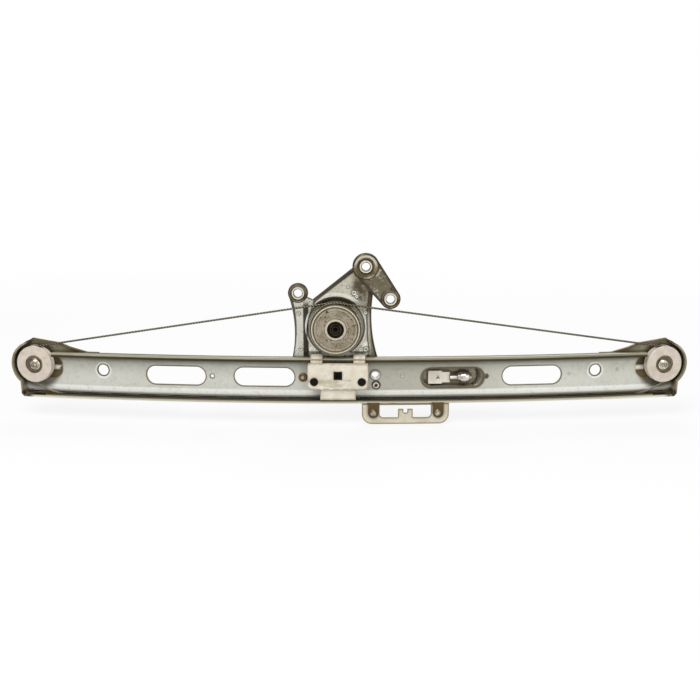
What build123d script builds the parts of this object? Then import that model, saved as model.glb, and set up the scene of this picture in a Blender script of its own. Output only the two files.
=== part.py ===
"""Single-rail cable window regulator.

The rail lies along X, Z is up and the carriage side faces -Y. The origin is the mouth of
the drive bore, on the rear face of the drum hub. The rail is bowed: it is an arc about a
vertical axis behind it, so its middle is nearer to the carriage side than its ends.
Places on the rail are given by three values: the arc length from the middle of the bow,
the height z, and the height h above the rear face of its web.
"""
import math
import os

from build123d import *

# Rail: bow, section and length
bow_radius = 1400.0
bow_middle_x = 10.8
web_rear_y = -4.0
rail_top_z = -23.6
rail_height = 37.4
rail_depth = 10.0
rail_sheet = 1.5
lip_height = 3.2
bend_radius = 3.4
lip_bend_radius = 1.9

# Rail ends: the pan round each pulley and the ear above it
pulley_arc = 256.9
pulley_z = -33.9
rim_radius = 19.2
rim_top_angle = 67.0
rim_bottom_angle = -50.0
ear_height = 20.5
ear_inner_reach = 43.0
ear_lip = 2.2
end_corner = 2.1
flange_gap_to_pulley = 1.4
upper_lip_reach = 15.4
lower_lip_reach = 9.0
recess_radius = 8.5
recess_reach = 13.0
recess_depth = 0.7
bead_radius = 3.0

# Holes in the web
slot_height = 14.9
slot_z = -41.0
slot_one_arc = -140.1
slot_two_arc = -68.2
slot_four_arc = 148.0
slot_length = 48.4
fixing_hole_arc = 201.0
fixing_hole_z = -38.3
fixing_hole_radius = 4.4
fixing_rim = 1.6
fixing_rim_depth = 0.5
pin_hole_arc = 110.5
pin_hole_radius = 1.4

# Third slot and the pocket behind it
pocket_arc = 83.3
pocket_z = -41.9
pocket_length = 50.0
pocket_height = 14.8
pocket_rim = 1.0
pocket_depth = 9.0
pocket_sheet = 1.0
pocket_flange = 3.0
block_length = 17.4
block_height = 10.6
block_depth = 5.6
block_offset = -10.6
plunger_neck_radius = 2.7
plunger_neck_length = 6.0
plunger_head_radius = 5.6

# Pulleys
pulley_radius = 15.1
pulley_width = 6.6
pulley_groove_radius = 13.9
pulley_groove_half_width = 2.3
pulley_middle_h = 5.6
pulley_bush_radius = 7.4
pulley_bush_wall = 2.6
axle_head_radius = 4.6
axle_head_height = 2.3
running_gap = 0.06
washer_radius = 8.6

# Cable and drum
cable_radius = 0.78
cable_gap = 0.35
winding_radius = 20.4
winding_pitch = 2.1
winding_turns = 0.9
winding_points = 8
wrap_points = 5
arc_share = 0.985
left_run_y = -10.5
right_run_y = -13.0
drum_front_y = -17.8
drum_rear_y = -3.5
drum_face_radius = 19.5
drum_flange = 1.2
drum_rear_flange = 4.0
drum_rim_width = 1.7
drum_rim_height = 0.7
hub_radius = 6.7
hub_collar_radius = 8.4
drive_bore_radius = 3.1
drive_bore_depth = 8.0
key_width = 1.0
key_depth = 0.7
clip_radius = 8.9
clip_thickness = 0.9
return_z = -57.9
return_points = 13
exit_slope = 30.0
tight_bend = 34.0
return_bend = 900.0
cable_end_gap = 0.1

# Drum plate
plate_sheet = 1.6
plate_seat_gap = 0.85
pad_height = 2.0
drum_pocket_radius = 22.3
bush_wall = 1.8
upper_eyelet_x = 23.9
upper_eyelet_z = 48.6
upper_eyelet_radius = 10.2
left_eyelet_x = -29.8
left_eyelet_z = 27.0
arm_eyelet_x = 43.4
arm_eyelet_z = 22.8
small_eyelet_radius = 7.6
eyelet_bore_radius = 3.3
eyelet_ring = 1.9
plate_edge_margin = 0.4
foot_left_x = -30.4
foot_right_x = 38.6
foot_bottom_z = -51.5
foot_below_rail_top = 2.0
foot_corner = 5.0

# Carriage
carriage_arc = -8.9
carriage_length = 47.8
carriage_top_z = -27.3
carriage_bottom_z = -47.9
carriage_front_h = 14.6
carriage_corner = 4.2
tongue_length = 28.2
tongue_bottom_z = -57.0
tongue_front_h = 12.6
hook_width = 9.2
hook_spacing = 33.6
hook_thickness = 1.8
hook_rear_h = 3.9
slide_gap = 0.35
glide_shoe = 5.4
glide_bridge_h = 4.3
glide_setback = 2.0
foot_width = 5.0
plug_radius = 3.35
plug_spacing = 37.8
plug_z = -41.8
square_size = 6.8
square_z = -36.8
anchor_length = 9.0
anchor_spacing = 26.0

# Harness bracket below the rail
bracket_left_arc = 9.9
bracket_length = 69.9
bracket_bottom_z = -77.9
bracket_sheet = 1.5
bracket_corner = 8.0
window_left = 14.2
window_length = 41.2
window_bottom_z = -72.7
window_corner = 2.9
clip_left = 29.0
clip_width = 11.8
clip_top_z = -65.7
clip_notch = 3.2
tab_radius = 4.25
tab_end_z = -68.4
tab_left = 9.3
tab_right = 61.0
bracket_rivet_radius = 2.4

# Rivets between plate and rail
plate_rivet_radius = 3.6
plate_rivet_head = 1.5
rivet_shank_radius = 2.0
stud_radius = 4.4
stud_bore_radius = 2.8
stud_height = 1.6

# Values that follow from the driving dimensions
rail_bottom_z = rail_top_z - rail_height
bow_centre_y = web_rear_y + bow_radius
lip_inner_h = rail_depth - rail_sheet
plate_front_y = web_rear_y + plate_seat_gap
plate_rear_y = plate_front_y + plate_sheet
pad_front_y = plate_front_y - pad_height
foot_top_z = rail_top_z - foot_below_rail_top
bow_axis = Axis((bow_middle_x, bow_centre_y, 0), (0, 0, 1))


def bow_angle(arc):
    """Angle about the bow's axis, in radians, of a place along the rail."""
    return arc / bow_radius


def rail_plane(arc, z, h=0.0):
    """Plane on the rail: x along it, y up, z out of the web towards the carriage side."""
    a = bow_angle(arc)
    r = bow_radius + h
    origin = (bow_middle_x + r * math.sin(a), bow_centre_y - r * math.cos(a), z)
    return Plane(origin=origin, x_dir=(math.cos(a), math.sin(a), 0), z_dir=(math.sin(a), -math.cos(a), 0))


def bowed(profile, arc_start, arc_end):
    """Turn a section about the bow's axis. Its x is h and its y is z."""
    a = bow_angle(arc_start)
    x_dir = (math.sin(a), -math.cos(a), 0)
    start = Plane(origin=(bow_middle_x, bow_centre_y, 0), x_dir=x_dir, z_dir=(-math.cos(a), -math.sin(a), 0))
    turned = math.degrees(bow_angle(arc_end) - a)
    return revolve(start * Pos(bow_radius, 0) * profile, axis=bow_axis, revolution_arc=turned)


def area(h0, h1, z0, z1):
    """Rectangle of a rail section, from h0 to h1 and z0 to z1."""
    return Pos((h0 + h1) / 2, (z0 + z1) / 2) * Rectangle(abs(h1 - h0), abs(z1 - z0))


def rounded(face, corners, radius):
    """Fillet the vertices of a face that the function corners accepts."""
    return fillet(face.vertices().filter_by(corners), radius)


def through(face, h0, h1):
    """Prism of a face drawn on a rail plane, from height h0 to h1."""
    return extrude(Pos(0, 0, h0) * face, amount=h1 - h0, dir=(0, 0, 1))


def on_plate(face, y0, y1):
    """Prism of a face drawn in x and z, from y0 back to y1."""
    plane = Plane(origin=(0, y1, 0), x_dir=(1, 0, 0), z_dir=(0, -1, 0))
    return extrude(plane * face, amount=y1 - y0, dir=(0, -1, 0))


def turned_about_y(points, x=0.0, z=0.0):
    """Revolve a closed outline of (radius, y) points about an axis along Y."""
    plane = Plane(origin=(x, 0, z), x_dir=(1, 0, 0), z_dir=(0, 0, 1))
    face = make_face(Polyline(*points, close=True))
    return revolve(plane * face, axis=Axis((x, 0, z), (0, 1, 0)), revolution_arc=360)


def turned_on_rail(points, arc, z):
    """Revolve a closed outline of (radius, h) points about the rail's normal at a place."""
    outline = [(radius, 0, h) for radius, h in points]
    face = make_face(Polyline(*outline, close=True))
    return rail_plane(arc, z) * revolve(face, axis=Axis.Z, revolution_arc=360)


def mirrored(shape):
    """The same shape on the other side of the middle of the bow."""
    return mirror(shape, about=Plane(origin=(bow_middle_x, 0, 0), z_dir=(1, 0, 0)))


def rail_section():
    """C-section with rounded bends and two short lips."""
    outer = area(0, rail_depth, rail_bottom_z, rail_top_z)
    outer = rounded(outer, lambda v: v.X < 1, bend_radius)
    outer = rounded(outer, lambda v: v.X > rail_depth - 0.5, lip_bend_radius)
    inner = area(rail_sheet, lip_inner_h, rail_bottom_z + rail_sheet, rail_top_z - rail_sheet)
    inner = rounded(inner, lambda v: v.X < rail_sheet + 0.5, bend_radius - rail_sheet)
    inner = rounded(inner, lambda v: v.X > lip_inner_h - 0.2, lip_bend_radius - rail_sheet)
    mouth = area(rail_sheet * 2, rail_depth + 1, rail_bottom_z + lip_height, rail_top_z - lip_height)
    return outer - inner - mouth


def end_outline():
    """Outline of a rail end: ear, chamfer, rim about the pulley, lower corner."""
    top = math.radians(rim_top_angle)
    bottom = math.radians(rim_bottom_angle)
    rim_start = (rim_radius * math.cos(top), rim_radius * math.sin(top))
    rim_end = (rim_radius * math.cos(bottom), rim_radius * math.sin(bottom))
    floor = rail_bottom_z - pulley_z
    flange = rail_top_z - pulley_z
    inner = -ear_inner_reach - 10
    arc = ThreePointArc(rim_start, (rim_radius, 0), rim_end)
    corner_x = rim_end[0] - 0.6
    lines = Polyline(
        rim_end,
        (corner_x, floor + end_corner),
        (corner_x - end_corner, floor),
        (inner, floor),
        (inner, flange),
        (-ear_inner_reach, flange),
        (-ear_inner_reach + 14, flange + 3.6),
        (-20, flange + 7.0),
        (rim_start[0] - 4.0, ear_height),
        rim_start,
    )
    return make_face([arc, lines])


def rail_end():
    """Pan at the right end: web, rim all round, ear above the flange."""
    plane = rail_plane(pulley_arc, pulley_z)
    face = end_outline()
    inside = offset(face, amount=-rail_sheet, kind=Kind.INTERSECTION)
    open_side = Pos(-ear_inner_reach - 5, (rail_top_z + rail_bottom_z) / 2 - pulley_z)
    inside += open_side * Rectangle(30, rail_height - 2 * rail_sheet)
    arc0 = pulley_arc - ear_inner_reach - 12
    arc1 = pulley_arc + rim_radius + 5
    ear_top = pulley_z + ear_height + 5
    block_section = rounded(
        area(0, rail_depth, rail_bottom_z, ear_top),
        lambda v: v.X < 1 and v.Y < rail_bottom_z + 1,
        bend_radius,
    )
    room_section = rounded(
        area(rail_sheet, rail_depth + 3, rail_bottom_z + rail_sheet, ear_top),
        lambda v: v.X < rail_sheet + 1 and v.Y < rail_bottom_z + 3,
        bend_radius - rail_sheet,
    )
    block = bowed(block_section, arc0, arc1) & (plane * through(face, -6, rail_depth + 6))
    room = bowed(room_section, arc0 - 1, arc1 + 1) & (plane * through(inside, -6, rail_depth + 6))
    over_ear = bowed(area(ear_lip, rail_depth + 4, rail_top_z - rail_sheet - 0.5, ear_top), arc0 - 1, pulley_arc + 5)
    return block - room - over_ear


def slot_cutter(arc, z, length, height, h0=-4, h1=4):
    return rail_plane(arc, z) * through(SlotOverall(length, height), h0, h1)


def guide_rail():
    top_end = pulley_arc - flange_gap_to_pulley
    rail = bowed(rail_section(), -top_end, top_end)
    end = rail_end()
    past = pulley_arc + 9
    lower = bowed(
        area(rail_sheet, rail_depth + 2, rail_bottom_z + rail_sheet, pulley_z), pulley_arc - lower_lip_reach, past
    )
    upper = bowed(area(rail_sheet, rail_depth + 2, pulley_z, rail_top_z + 1), pulley_arc - upper_lip_reach, past)
    for side in (lambda s: s, mirrored):
        rail = rail - side(lower) - side(upper)
        rail = rail + side(end)
    for arc in (slot_one_arc, slot_two_arc, slot_four_arc):
        rail -= slot_cutter(arc, slot_z, slot_length, slot_height)
    rail -= slot_cutter(pocket_arc, pocket_z, pocket_length, pocket_height)
    rail -= slot_cutter(
        pocket_arc, pocket_z, pocket_length + 2 * pocket_rim, pocket_height + 2 * pocket_rim, rail_sheet - 0.5
    )
    sunk = rail_sheet - fixing_rim_depth
    clear = rail_sheet + fixing_rim_depth
    fixing_hole = [
        (0, -2), (fixing_hole_radius, -2), (fixing_hole_radius, sunk),
        (fixing_hole_radius + 2 * fixing_rim, clear), (0, clear),
    ]
    for side in (-1, 1):
        rail -= turned_on_rail(fixing_hole, side * fixing_hole_arc, fixing_hole_z)
        rail -= rail_plane(side * pin_hole_arc, slot_z) * through(Circle(pin_hole_radius), -2, 4)
        rail -= pulley_recess(side)
        rail -= rail_plane(side * pulley_arc, pulley_z) * through(Circle(axle_shank()), -2, 4)
    for arc, z, radius in joint_places():
        rail -= rail_plane(arc, z) * through(Circle(radius), -3, 4)
    return rail + bracket_tabs()


def pulley_recess(side):
    """Shallow D-shaped recess beside each pulley, with a bead left standing in it."""
    plane = rail_plane(side * (pulley_arc - recess_reach), pulley_z - 3.2)
    recess = Circle(recess_radius) - Rectangle(2 * recess_radius, 2 * bead_radius)
    return plane * through(recess, rail_sheet - recess_depth, rail_sheet + 1)


def axle_shank():
    return pulley_bush_radius - pulley_bush_wall - running_gap


def joint_places():
    """Arc, height and radius of each hole where a rivet joins plate and rail."""
    return [
        (-37.0, -40.9, rivet_shank_radius),
        (21.6, -47.2, rivet_shank_radius),
        (20.8, -39.0, stud_bore_radius + 0.9),
    ]


def bracket_tabs():
    """Two tabs that run down out of the lower lip, in front of the bracket."""
    tabs = []
    for reach in (tab_left, tab_right):
        arc = bracket_left_arc + reach
        height = rail_bottom_z + lip_height - tab_end_z
        strip = Pos(0, height / 2) * Rectangle(2 * tab_radius, height) + Circle(tab_radius)
        strip -= Circle(bracket_rivet_radius)
        tabs.append(rail_plane(arc, tab_end_z) * through(strip, lip_inner_h, rail_depth))
    return tabs


def harness_bracket():
    """Beige bracket with a wide window and an M-shaped clip standing in it."""
    height = rail_bottom_z - bracket_bottom_z
    top = 0.2
    middle = bracket_left_arc + bracket_length / 2
    plane = rail_plane(middle, rail_bottom_z - top)
    left = -bracket_length / 2
    body = Pos(0, -height / 2 + top / 2) * Rectangle(bracket_length, height - top)
    body = fillet(body.vertices().filter_by(lambda v: v.Y < -height / 2), bracket_corner)
    depth = rail_bottom_z - top - window_bottom_z
    window = Pos(left + window_left + window_length / 2, -depth / 2 + 0.5) * Rectangle(window_length, depth + 1)
    window = fillet(window.vertices().filter_by(lambda v: v.Y < -depth / 2), window_corner)
    clip_height = clip_top_z - window_bottom_z
    clip_x = left + clip_left + clip_width / 2
    clip = Pos(clip_x, -depth + clip_height / 2) * Rectangle(clip_width, clip_height)
    clip = fillet(clip.vertices().filter_by(lambda v: v.Y > -depth + 1), 0.7)
    notch = Pos(clip_x, clip_height - depth - clip_notch / 2 + 0.5) * Rectangle(clip_notch, clip_notch + 1)
    notch = fillet(notch.vertices().filter_by(lambda v: v.Y < clip_height - depth - 1), 1.0)
    body = body - window + (clip - notch)
    sheet = bowed(
        area(lip_inner_h - bracket_sheet, lip_inner_h, bracket_bottom_z - 1, rail_bottom_z),
        bracket_left_arc - 1,
        bracket_left_arc + bracket_length + 1,
    )
    bracket = sheet & (plane * through(body, 0, rail_depth + 2))
    for reach in (tab_left, tab_right):
        bracket -= rail_plane(bracket_left_arc + reach, tab_end_z) * through(Circle(bracket_rivet_radius), 0, rail_depth)
    return bracket


def bracket_rivets():
    rear = lip_inner_h - bracket_sheet - 0.01
    head = bracket_rivet_radius + 1.1
    solids = []
    for reach in (tab_left, tab_right):
        points = [
            (0, rear - 1.0), (head, rear - 1.0), (head, rear), (bracket_rivet_radius, rear),
            (bracket_rivet_radius, rail_depth), (head - 0.4, rail_depth), (head - 0.4, rail_depth + 0.5),
            (head - 1.2, rail_depth + 1.1), (0, rail_depth + 1.2),
        ]
        solids.append(turned_on_rail(points, bracket_left_arc + reach, tab_end_z))
    return solids


def plate_outline():
    """Plate seen from the carriage side: neck to the upper eyelet, left column, foot."""
    upper = Pos(upper_eyelet_x, upper_eyelet_z) * Circle(upper_eyelet_radius + plate_edge_margin)
    left = Pos(left_eyelet_x, left_eyelet_z) * Circle(small_eyelet_radius + plate_edge_margin)
    left_edge = ThreePointArc((-37.2, 24.5), (-32.6, -2.0), (-34.8, foot_top_z))
    right_edge = ThreePointArc((33.7, foot_top_z), (28.5, 4.2), (33.2, 42.0))
    bottom = Polyline((-34.8, foot_top_z), (33.7, foot_top_z))
    top = Polyline((33.2, 42.0), (22.0, 54.0), (-18.2, 21.9), (-24.0, 24.6), (-37.2, 24.5))
    sheet = make_face([left_edge, bottom, right_edge, top])
    foot_x = (foot_left_x + foot_right_x) / 2
    foot_z = (foot_bottom_z + foot_top_z) / 2
    foot = Pos(foot_x, foot_z) * Rectangle(foot_right_x - foot_left_x, foot_top_z - foot_bottom_z)
    foot = fillet(foot.vertices().filter_by(lambda v: v.Y < foot_bottom_z + 1), foot_corner)
    return sheet + upper + left, foot


def pad_outline():
    """Raised middle of the plate, from the joggle on the left to the right edge."""
    left = ThreePointArc((-16.8, 22.6), (-23.9, 1.0), (-22.6, rail_top_z + 2.0))
    rest = Polyline(
        (-22.6, rail_top_z + 2.0), (28.4, rail_top_z + 2.0), (26.6, -8.0), (26.0, 12.0), (29.4, 38.0),
        (31.6, 44.0), (21.5, 51.5), (-16.8, 22.6),
    )
    return make_face([left, rest])


def drum_plate():
    sheet, foot = plate_outline()
    front_face = offset(pad_outline(), amount=-1.0)
    pocket = [
        (0, pad_front_y - 1), (drum_pocket_radius + pad_height * 0.35, pad_front_y - 1),
        (drum_pocket_radius + pad_height * 0.35, pad_front_y), (drum_pocket_radius, plate_front_y),
        (0, plate_front_y),
    ]
    pad = on_plate(front_face, pad_front_y, plate_front_y)
    pad -= turned_about_y(pocket)
    plate = on_plate(sheet + foot, plate_front_y, plate_rear_y) + pad
    hollow = on_plate(offset(pad_outline(), amount=-1.0 - plate_sheet), pad_front_y + plate_sheet, plate_rear_y + 1)
    keep = [
        (0, pad_front_y - 1), (drum_pocket_radius + plate_sheet, pad_front_y - 1),
        (drum_pocket_radius + plate_sheet, plate_rear_y + 2), (0, plate_rear_y + 2),
    ]
    eyelet_land = Pos(upper_eyelet_x, upper_eyelet_z) * Circle(upper_eyelet_radius + 3)
    hollow -= turned_about_y(keep)
    plate -= hollow
    upper_rear = on_plate(eyelet_land, pad_front_y + plate_sheet, plate_rear_y + 1)
    plate -= upper_rear
    plate += on_plate(
        Pos(upper_eyelet_x, upper_eyelet_z) * Circle(upper_eyelet_radius + plate_edge_margin),
        pad_front_y, pad_front_y + plate_sheet,
    )
    plate -= on_plate(Circle(hub_radius + running_gap + bush_wall), plate_front_y - 1, plate_rear_y + 1)
    for x, z in ((upper_eyelet_x, upper_eyelet_z), (left_eyelet_x, left_eyelet_z)):
        plate -= on_plate(Pos(x, z) * Circle(eyelet_bore_radius + eyelet_ring), pad_front_y - 2, plate_rear_y + 1)
    for arc, z, radius in joint_places():
        plate -= rail_plane(arc, z) * through(Circle(radius), -9, 3)
    return plate


def strap_arm():
    """Link between the upper and the arm eyelet, in front of the plate."""
    upper = Pos(upper_eyelet_x, upper_eyelet_z) * Circle(upper_eyelet_radius + plate_edge_margin)
    lower = Pos(arm_eyelet_x, arm_eyelet_z) * Circle(small_eyelet_radius + plate_edge_margin)
    face = make_hull((upper + lower).edges())
    for x, z in ((upper_eyelet_x, upper_eyelet_z), (arm_eyelet_x, arm_eyelet_z)):
        face -= Pos(x, z) * Circle(eyelet_bore_radius + eyelet_ring)
    return on_plate(face, pad_front_y - plate_sheet, pad_front_y)


def eyelet(x, z, flange_radius, front_y, rear_y):
    """Flanged steel bush with a round bead about its bore, swaged over at the rear."""
    bore = eyelet_bore_radius
    barrel = bore + eyelet_ring
    points = [
        (bore, front_y - 1.1), (bore + 0.7, front_y - 1.9), (barrel - 0.5, front_y - 1.9),
        (barrel + 0.2, front_y - 1.0), (flange_radius - 1.6, front_y - 0.8), (flange_radius - 0.7, front_y - 1.2),
        (flange_radius, front_y - 0.7), (flange_radius, front_y), (barrel, front_y), (barrel, rear_y),
        (barrel + 1.6, rear_y), (barrel + 1.2, rear_y + 0.9), (bore, rear_y + 0.9),
    ]
    return turned_about_y(points, x, z)


def drum_profile():
    core = winding_radius - cable_radius - cable_gap
    bore = hub_radius
    face_y = drum_front_y + drum_rim_height
    rear_flange_y = drum_rear_y - drum_rear_flange
    points = [
        (bore, drum_rear_y), (winding_radius + 0.2, drum_rear_y), (winding_radius + 0.2, rear_flange_y),
        (core, rear_flange_y),
    ]
    y = rear_flange_y
    while y - winding_pitch > face_y + drum_flange:
        points += [(core, y - 0.25), (core - 0.35, y - winding_pitch / 2), (core, y - winding_pitch + 0.25)]
        y -= winding_pitch
    points += [
        (core, face_y + drum_flange), (drum_face_radius, face_y + drum_flange), (drum_face_radius, drum_front_y + 0.3),
        (drum_face_radius - 0.4, drum_front_y), (drum_face_radius - drum_rim_width + 0.3, drum_front_y),
        (drum_face_radius - drum_rim_width, face_y), (16.9, face_y), (16.7, face_y + 0.3), (16.1, face_y + 0.3),
        (15.9, face_y), (10.6, face_y), (10.4, face_y + 0.4), (hub_collar_radius, face_y + 0.4),
        (hub_collar_radius, face_y - 0.4), (bore, face_y - 0.4),
    ]
    return points


def cable_drum():
    return turned_about_y(drum_profile())


def drum_hub():
    """Black hub through the drum, running in the bush of the plate, bored for the drive."""
    front = drum_front_y + 0.9
    groove = -1.0
    points = [
        (0, -drive_bore_depth), (drive_bore_radius, -drive_bore_depth), (drive_bore_radius, 0), (hub_radius, 0),
        (hub_radius, groove + 0.5), (hub_radius - 1, groove + 0.5), (hub_radius - 1, groove - 0.5),
        (hub_radius, groove - 0.5), (hub_radius, front), (hub_radius - 0.6, front - 0.5), (4.6, front - 0.5),
        (4.4, front + 0.6), (3.6, front + 0.6), (3.4, front - 0.3), (2.2, front - 0.3), (2.0, front + 1.2),
        (0, front + 1.2),
    ]
    hub = turned_about_y(points)
    for angle in (90, 210, 330):
        reach = drive_bore_radius + key_depth
        key = Rot(0, 0, angle) * Pos(reach / 2, 0) * Rectangle(reach, key_width)
        hub -= on_plate(key, -drive_bore_depth, 1)
    return hub


def drum_clip():
    ring = Circle(clip_radius) - Circle(hub_radius - 1 + 0.05)
    ring -= Pos(clip_radius, 0) * Rectangle(2 * clip_radius, 3.4)
    return on_plate(ring, -1.0 - clip_thickness / 2, -1.0 + clip_thickness / 2)


def drum_bush():
    inner = hub_radius + running_gap
    outer = inner + bush_wall
    points = [
        (inner, drum_rear_y + 0.05), (outer + 1.4, drum_rear_y + 0.05), (outer + 1.4, plate_front_y),
        (outer, plate_front_y), (outer, plate_rear_y), (inner, plate_rear_y),
    ]
    return turned_about_y(points)


def pulley(side):
    """Grooved plastic pulley, cut at its middle by a V with a round bottom."""
    half = pulley_width / 2
    middle = pulley_middle_h
    floor = pulley_groove_radius - cable_radius - cable_gap
    points = [
        (pulley_bush_radius, middle - half), (pulley_radius - 0.5, middle - half), (pulley_radius, middle - half + 0.5),
        (pulley_radius, middle - pulley_groove_half_width), (floor, middle - cable_radius - 0.3),
        (floor, middle + cable_radius + 0.3), (pulley_radius, middle + pulley_groove_half_width),
        (pulley_radius, middle + half - 0.5), (pulley_radius - 0.5, middle + half), (pulley_bush_radius, middle + half),
    ]
    return turned_on_rail(points, side * pulley_arc, pulley_z)


def pulley_bush(side):
    half = pulley_width / 2
    inner = pulley_bush_radius - pulley_bush_wall
    low = pulley_middle_h - half
    high = pulley_middle_h + half
    points = [
        (inner, low), (pulley_bush_radius, low), (pulley_bush_radius, high - 0.5), (pulley_bush_radius - 0.8, high - 0.1),
        (inner + 0.8, high - 0.1), (inner, high - 0.6),
    ]
    return turned_on_rail(points, side * pulley_arc, pulley_z)


def pulley_axle(side):
    """Riveted axle: shank through the web, domed head with a dimple."""
    shank = axle_shank()
    top = pulley_middle_h + pulley_width / 2 + 0.35
    head = axle_head_radius + 1.0
    points = [
        (0, -1.4), (shank + 1.6, -1.4), (shank + 2.2, -0.6), (shank + 2.2, -0.25), (shank, -0.25), (shank, top),
        (head, top), (head, top + 0.6), (axle_head_radius, top + 1.3), (axle_head_radius - 1.2, top + axle_head_height),
        (1.5, top + axle_head_height), (1.1, top + axle_head_height - 1.1), (0, top + axle_head_height - 1.3),
    ]
    return turned_on_rail(points, side * pulley_arc, pulley_z)


def pulley_washer(side):
    inner = axle_shank() + 0.1
    top = pulley_middle_h - pulley_width / 2 - 0.1
    points = [(inner, rail_sheet), (washer_radius, rail_sheet), (washer_radius, top), (inner, top)]
    return turned_on_rail(points, side * pulley_arc, pulley_z)


def rail_point(arc, z, h):
    origin = rail_plane(arc, z, h).origin
    return Vector(origin.X, origin.Y, origin.Z)


def pulley_point(side, u, z):
    """Point in the plane of a pulley's groove, u outwards along the rail from its axis."""
    plane = rail_plane(side * pulley_arc, pulley_z)
    return plane.from_local_coords(Vector(side * u, z, pulley_middle_h))


def run_slope(side):
    """Downward slope of the upper run from the drum to a pulley, in degrees."""
    reach = abs(rail_plane(side * pulley_arc, pulley_z).origin.X)
    slope = math.atan2(-pulley_z, reach)
    slope += math.asin((winding_radius - pulley_groove_radius) / math.hypot(reach, pulley_z))
    return math.degrees(slope)


def winding(side):
    """Corners of the turns on the drum, from their end up to where the upper run leaves."""
    run_y = left_run_y if side < 0 else right_run_y
    step = 360 / winding_points
    corner = winding_radius / math.cos(math.pi / winding_points)
    count = int(winding_points * winding_turns)
    points = []
    for k in range(count + 1):
        turned = step * (count if k == 0 else count - k + 0.5)
        angle = math.radians(90 - run_slope(side) + turned)
        radius = winding_radius if k == 0 else corner
        y = run_y - side * winding_pitch * turned / 360
        points.append(Vector(side * radius * math.cos(angle), y, radius * math.sin(angle)))
    return points


def pulley_wrap(side):
    """Corners of the cable round a pulley, from the upper run to the way down."""
    entry = 90 - run_slope(side)
    turn = (entry + 90 - exit_slope) / wrap_points
    reach = pulley_groove_radius / math.cos(math.radians(turn / 2))
    points = []
    for k in range(wrap_points):
        angle = math.radians(entry - turn * (k + 0.5))
        points.append(pulley_point(side, reach * math.cos(angle), reach * math.sin(angle)))
    return points


def return_run(side):
    """Places along the lower corner of the channel, from below the pulley to the carriage."""
    slope = math.radians(exit_slope)
    drop = pulley_z - pulley_groove_radius * math.cos(slope) - return_z
    start = side * (pulley_arc + pulley_groove_radius * math.sin(slope) - drop / math.tan(slope))
    finish = carriage_arc + side * cable_end_gap
    arcs = [start + (finish - start) * k / (return_points - 1) for k in range(return_points)]
    return [rail_point(arc, return_z, pulley_middle_h) for arc in arcs]


def cable_path(side):
    turns = winding(side)
    wrap = pulley_wrap(side)
    back = return_run(side)
    radii = [winding_radius * arc_share] * (len(turns) - 1)
    radii += [pulley_groove_radius * arc_share] * len(wrap)
    radii += [tight_bend] + [return_bend] * (len(back) - 2)
    return FilletPolyline(*turns, *wrap, *back, radius=radii)


def cable(side):
    """One cable: turns on the drum, upper run, end pulley and the lower run to the carriage."""
    path = cable_path(side)
    section = Plane(origin=path @ 0, z_dir=path % 0) * Circle(cable_radius)
    return sweep(section, path=path)


def carriage_front(face, h0, h1, z):
    return rail_plane(carriage_arc, z) * through(face, h0, h1)


def carriage_body():
    """Cream front part: plate between the lips, two hooks over the flange, lower tongue."""
    height = carriage_top_z - carriage_bottom_z
    middle = (carriage_top_z + carriage_bottom_z) / 2
    body = Rectangle(carriage_length, height)
    body = fillet(body.vertices().filter_by(lambda v: v.Y < 0), carriage_corner)
    body = fillet(body.vertices().filter_by(lambda v: v.Y > height / 2 - 0.1), 1.0)
    front = carriage_front(body, rail_depth + slide_gap + 0.2, carriage_front_h, middle)
    neck = Rectangle(carriage_length - 6, height - 4)
    front += carriage_front(neck, lip_inner_h - slide_gap, rail_depth + 1, middle)
    for side in (-1, 1):
        front += hook(side)
    tongue_top = carriage_bottom_z + 4
    length = tongue_top - tongue_bottom_z
    tongue = Pos(0, -length / 2) * Rectangle(tongue_length, length)
    front += carriage_front(tongue, lip_inner_h - slide_gap, tongue_front_h, tongue_top)
    for side in (-1, 1):
        place = Pos(side * plug_spacing / 2, 0)
        front -= carriage_front(place * Circle(plug_radius), carriage_front_h - 2.5, carriage_front_h + 1, plug_z)
    square = Rectangle(square_size, square_size)
    front -= carriage_front(square, carriage_front_h - 4, carriage_front_h + 1, square_z)
    return front


def hook(side):
    """Hook that passes in front of the upper lip and over the flange."""
    arc = carriage_arc + side * hook_spacing / 2
    top = rail_top_z + slide_gap + hook_thickness
    front_h = rail_depth + slide_gap + 2.6
    shape = area(rail_depth + slide_gap + 0.2, front_h, carriage_top_z - 2, top)
    shape += area(hook_rear_h, front_h, rail_top_z + slide_gap, top)
    shape -= area(front_h - 0.9, front_h + 1, rail_top_z - 1.3, rail_top_z + 0.1)
    return bowed(shape, arc - hook_width / 2, arc + hook_width / 2)


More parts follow.
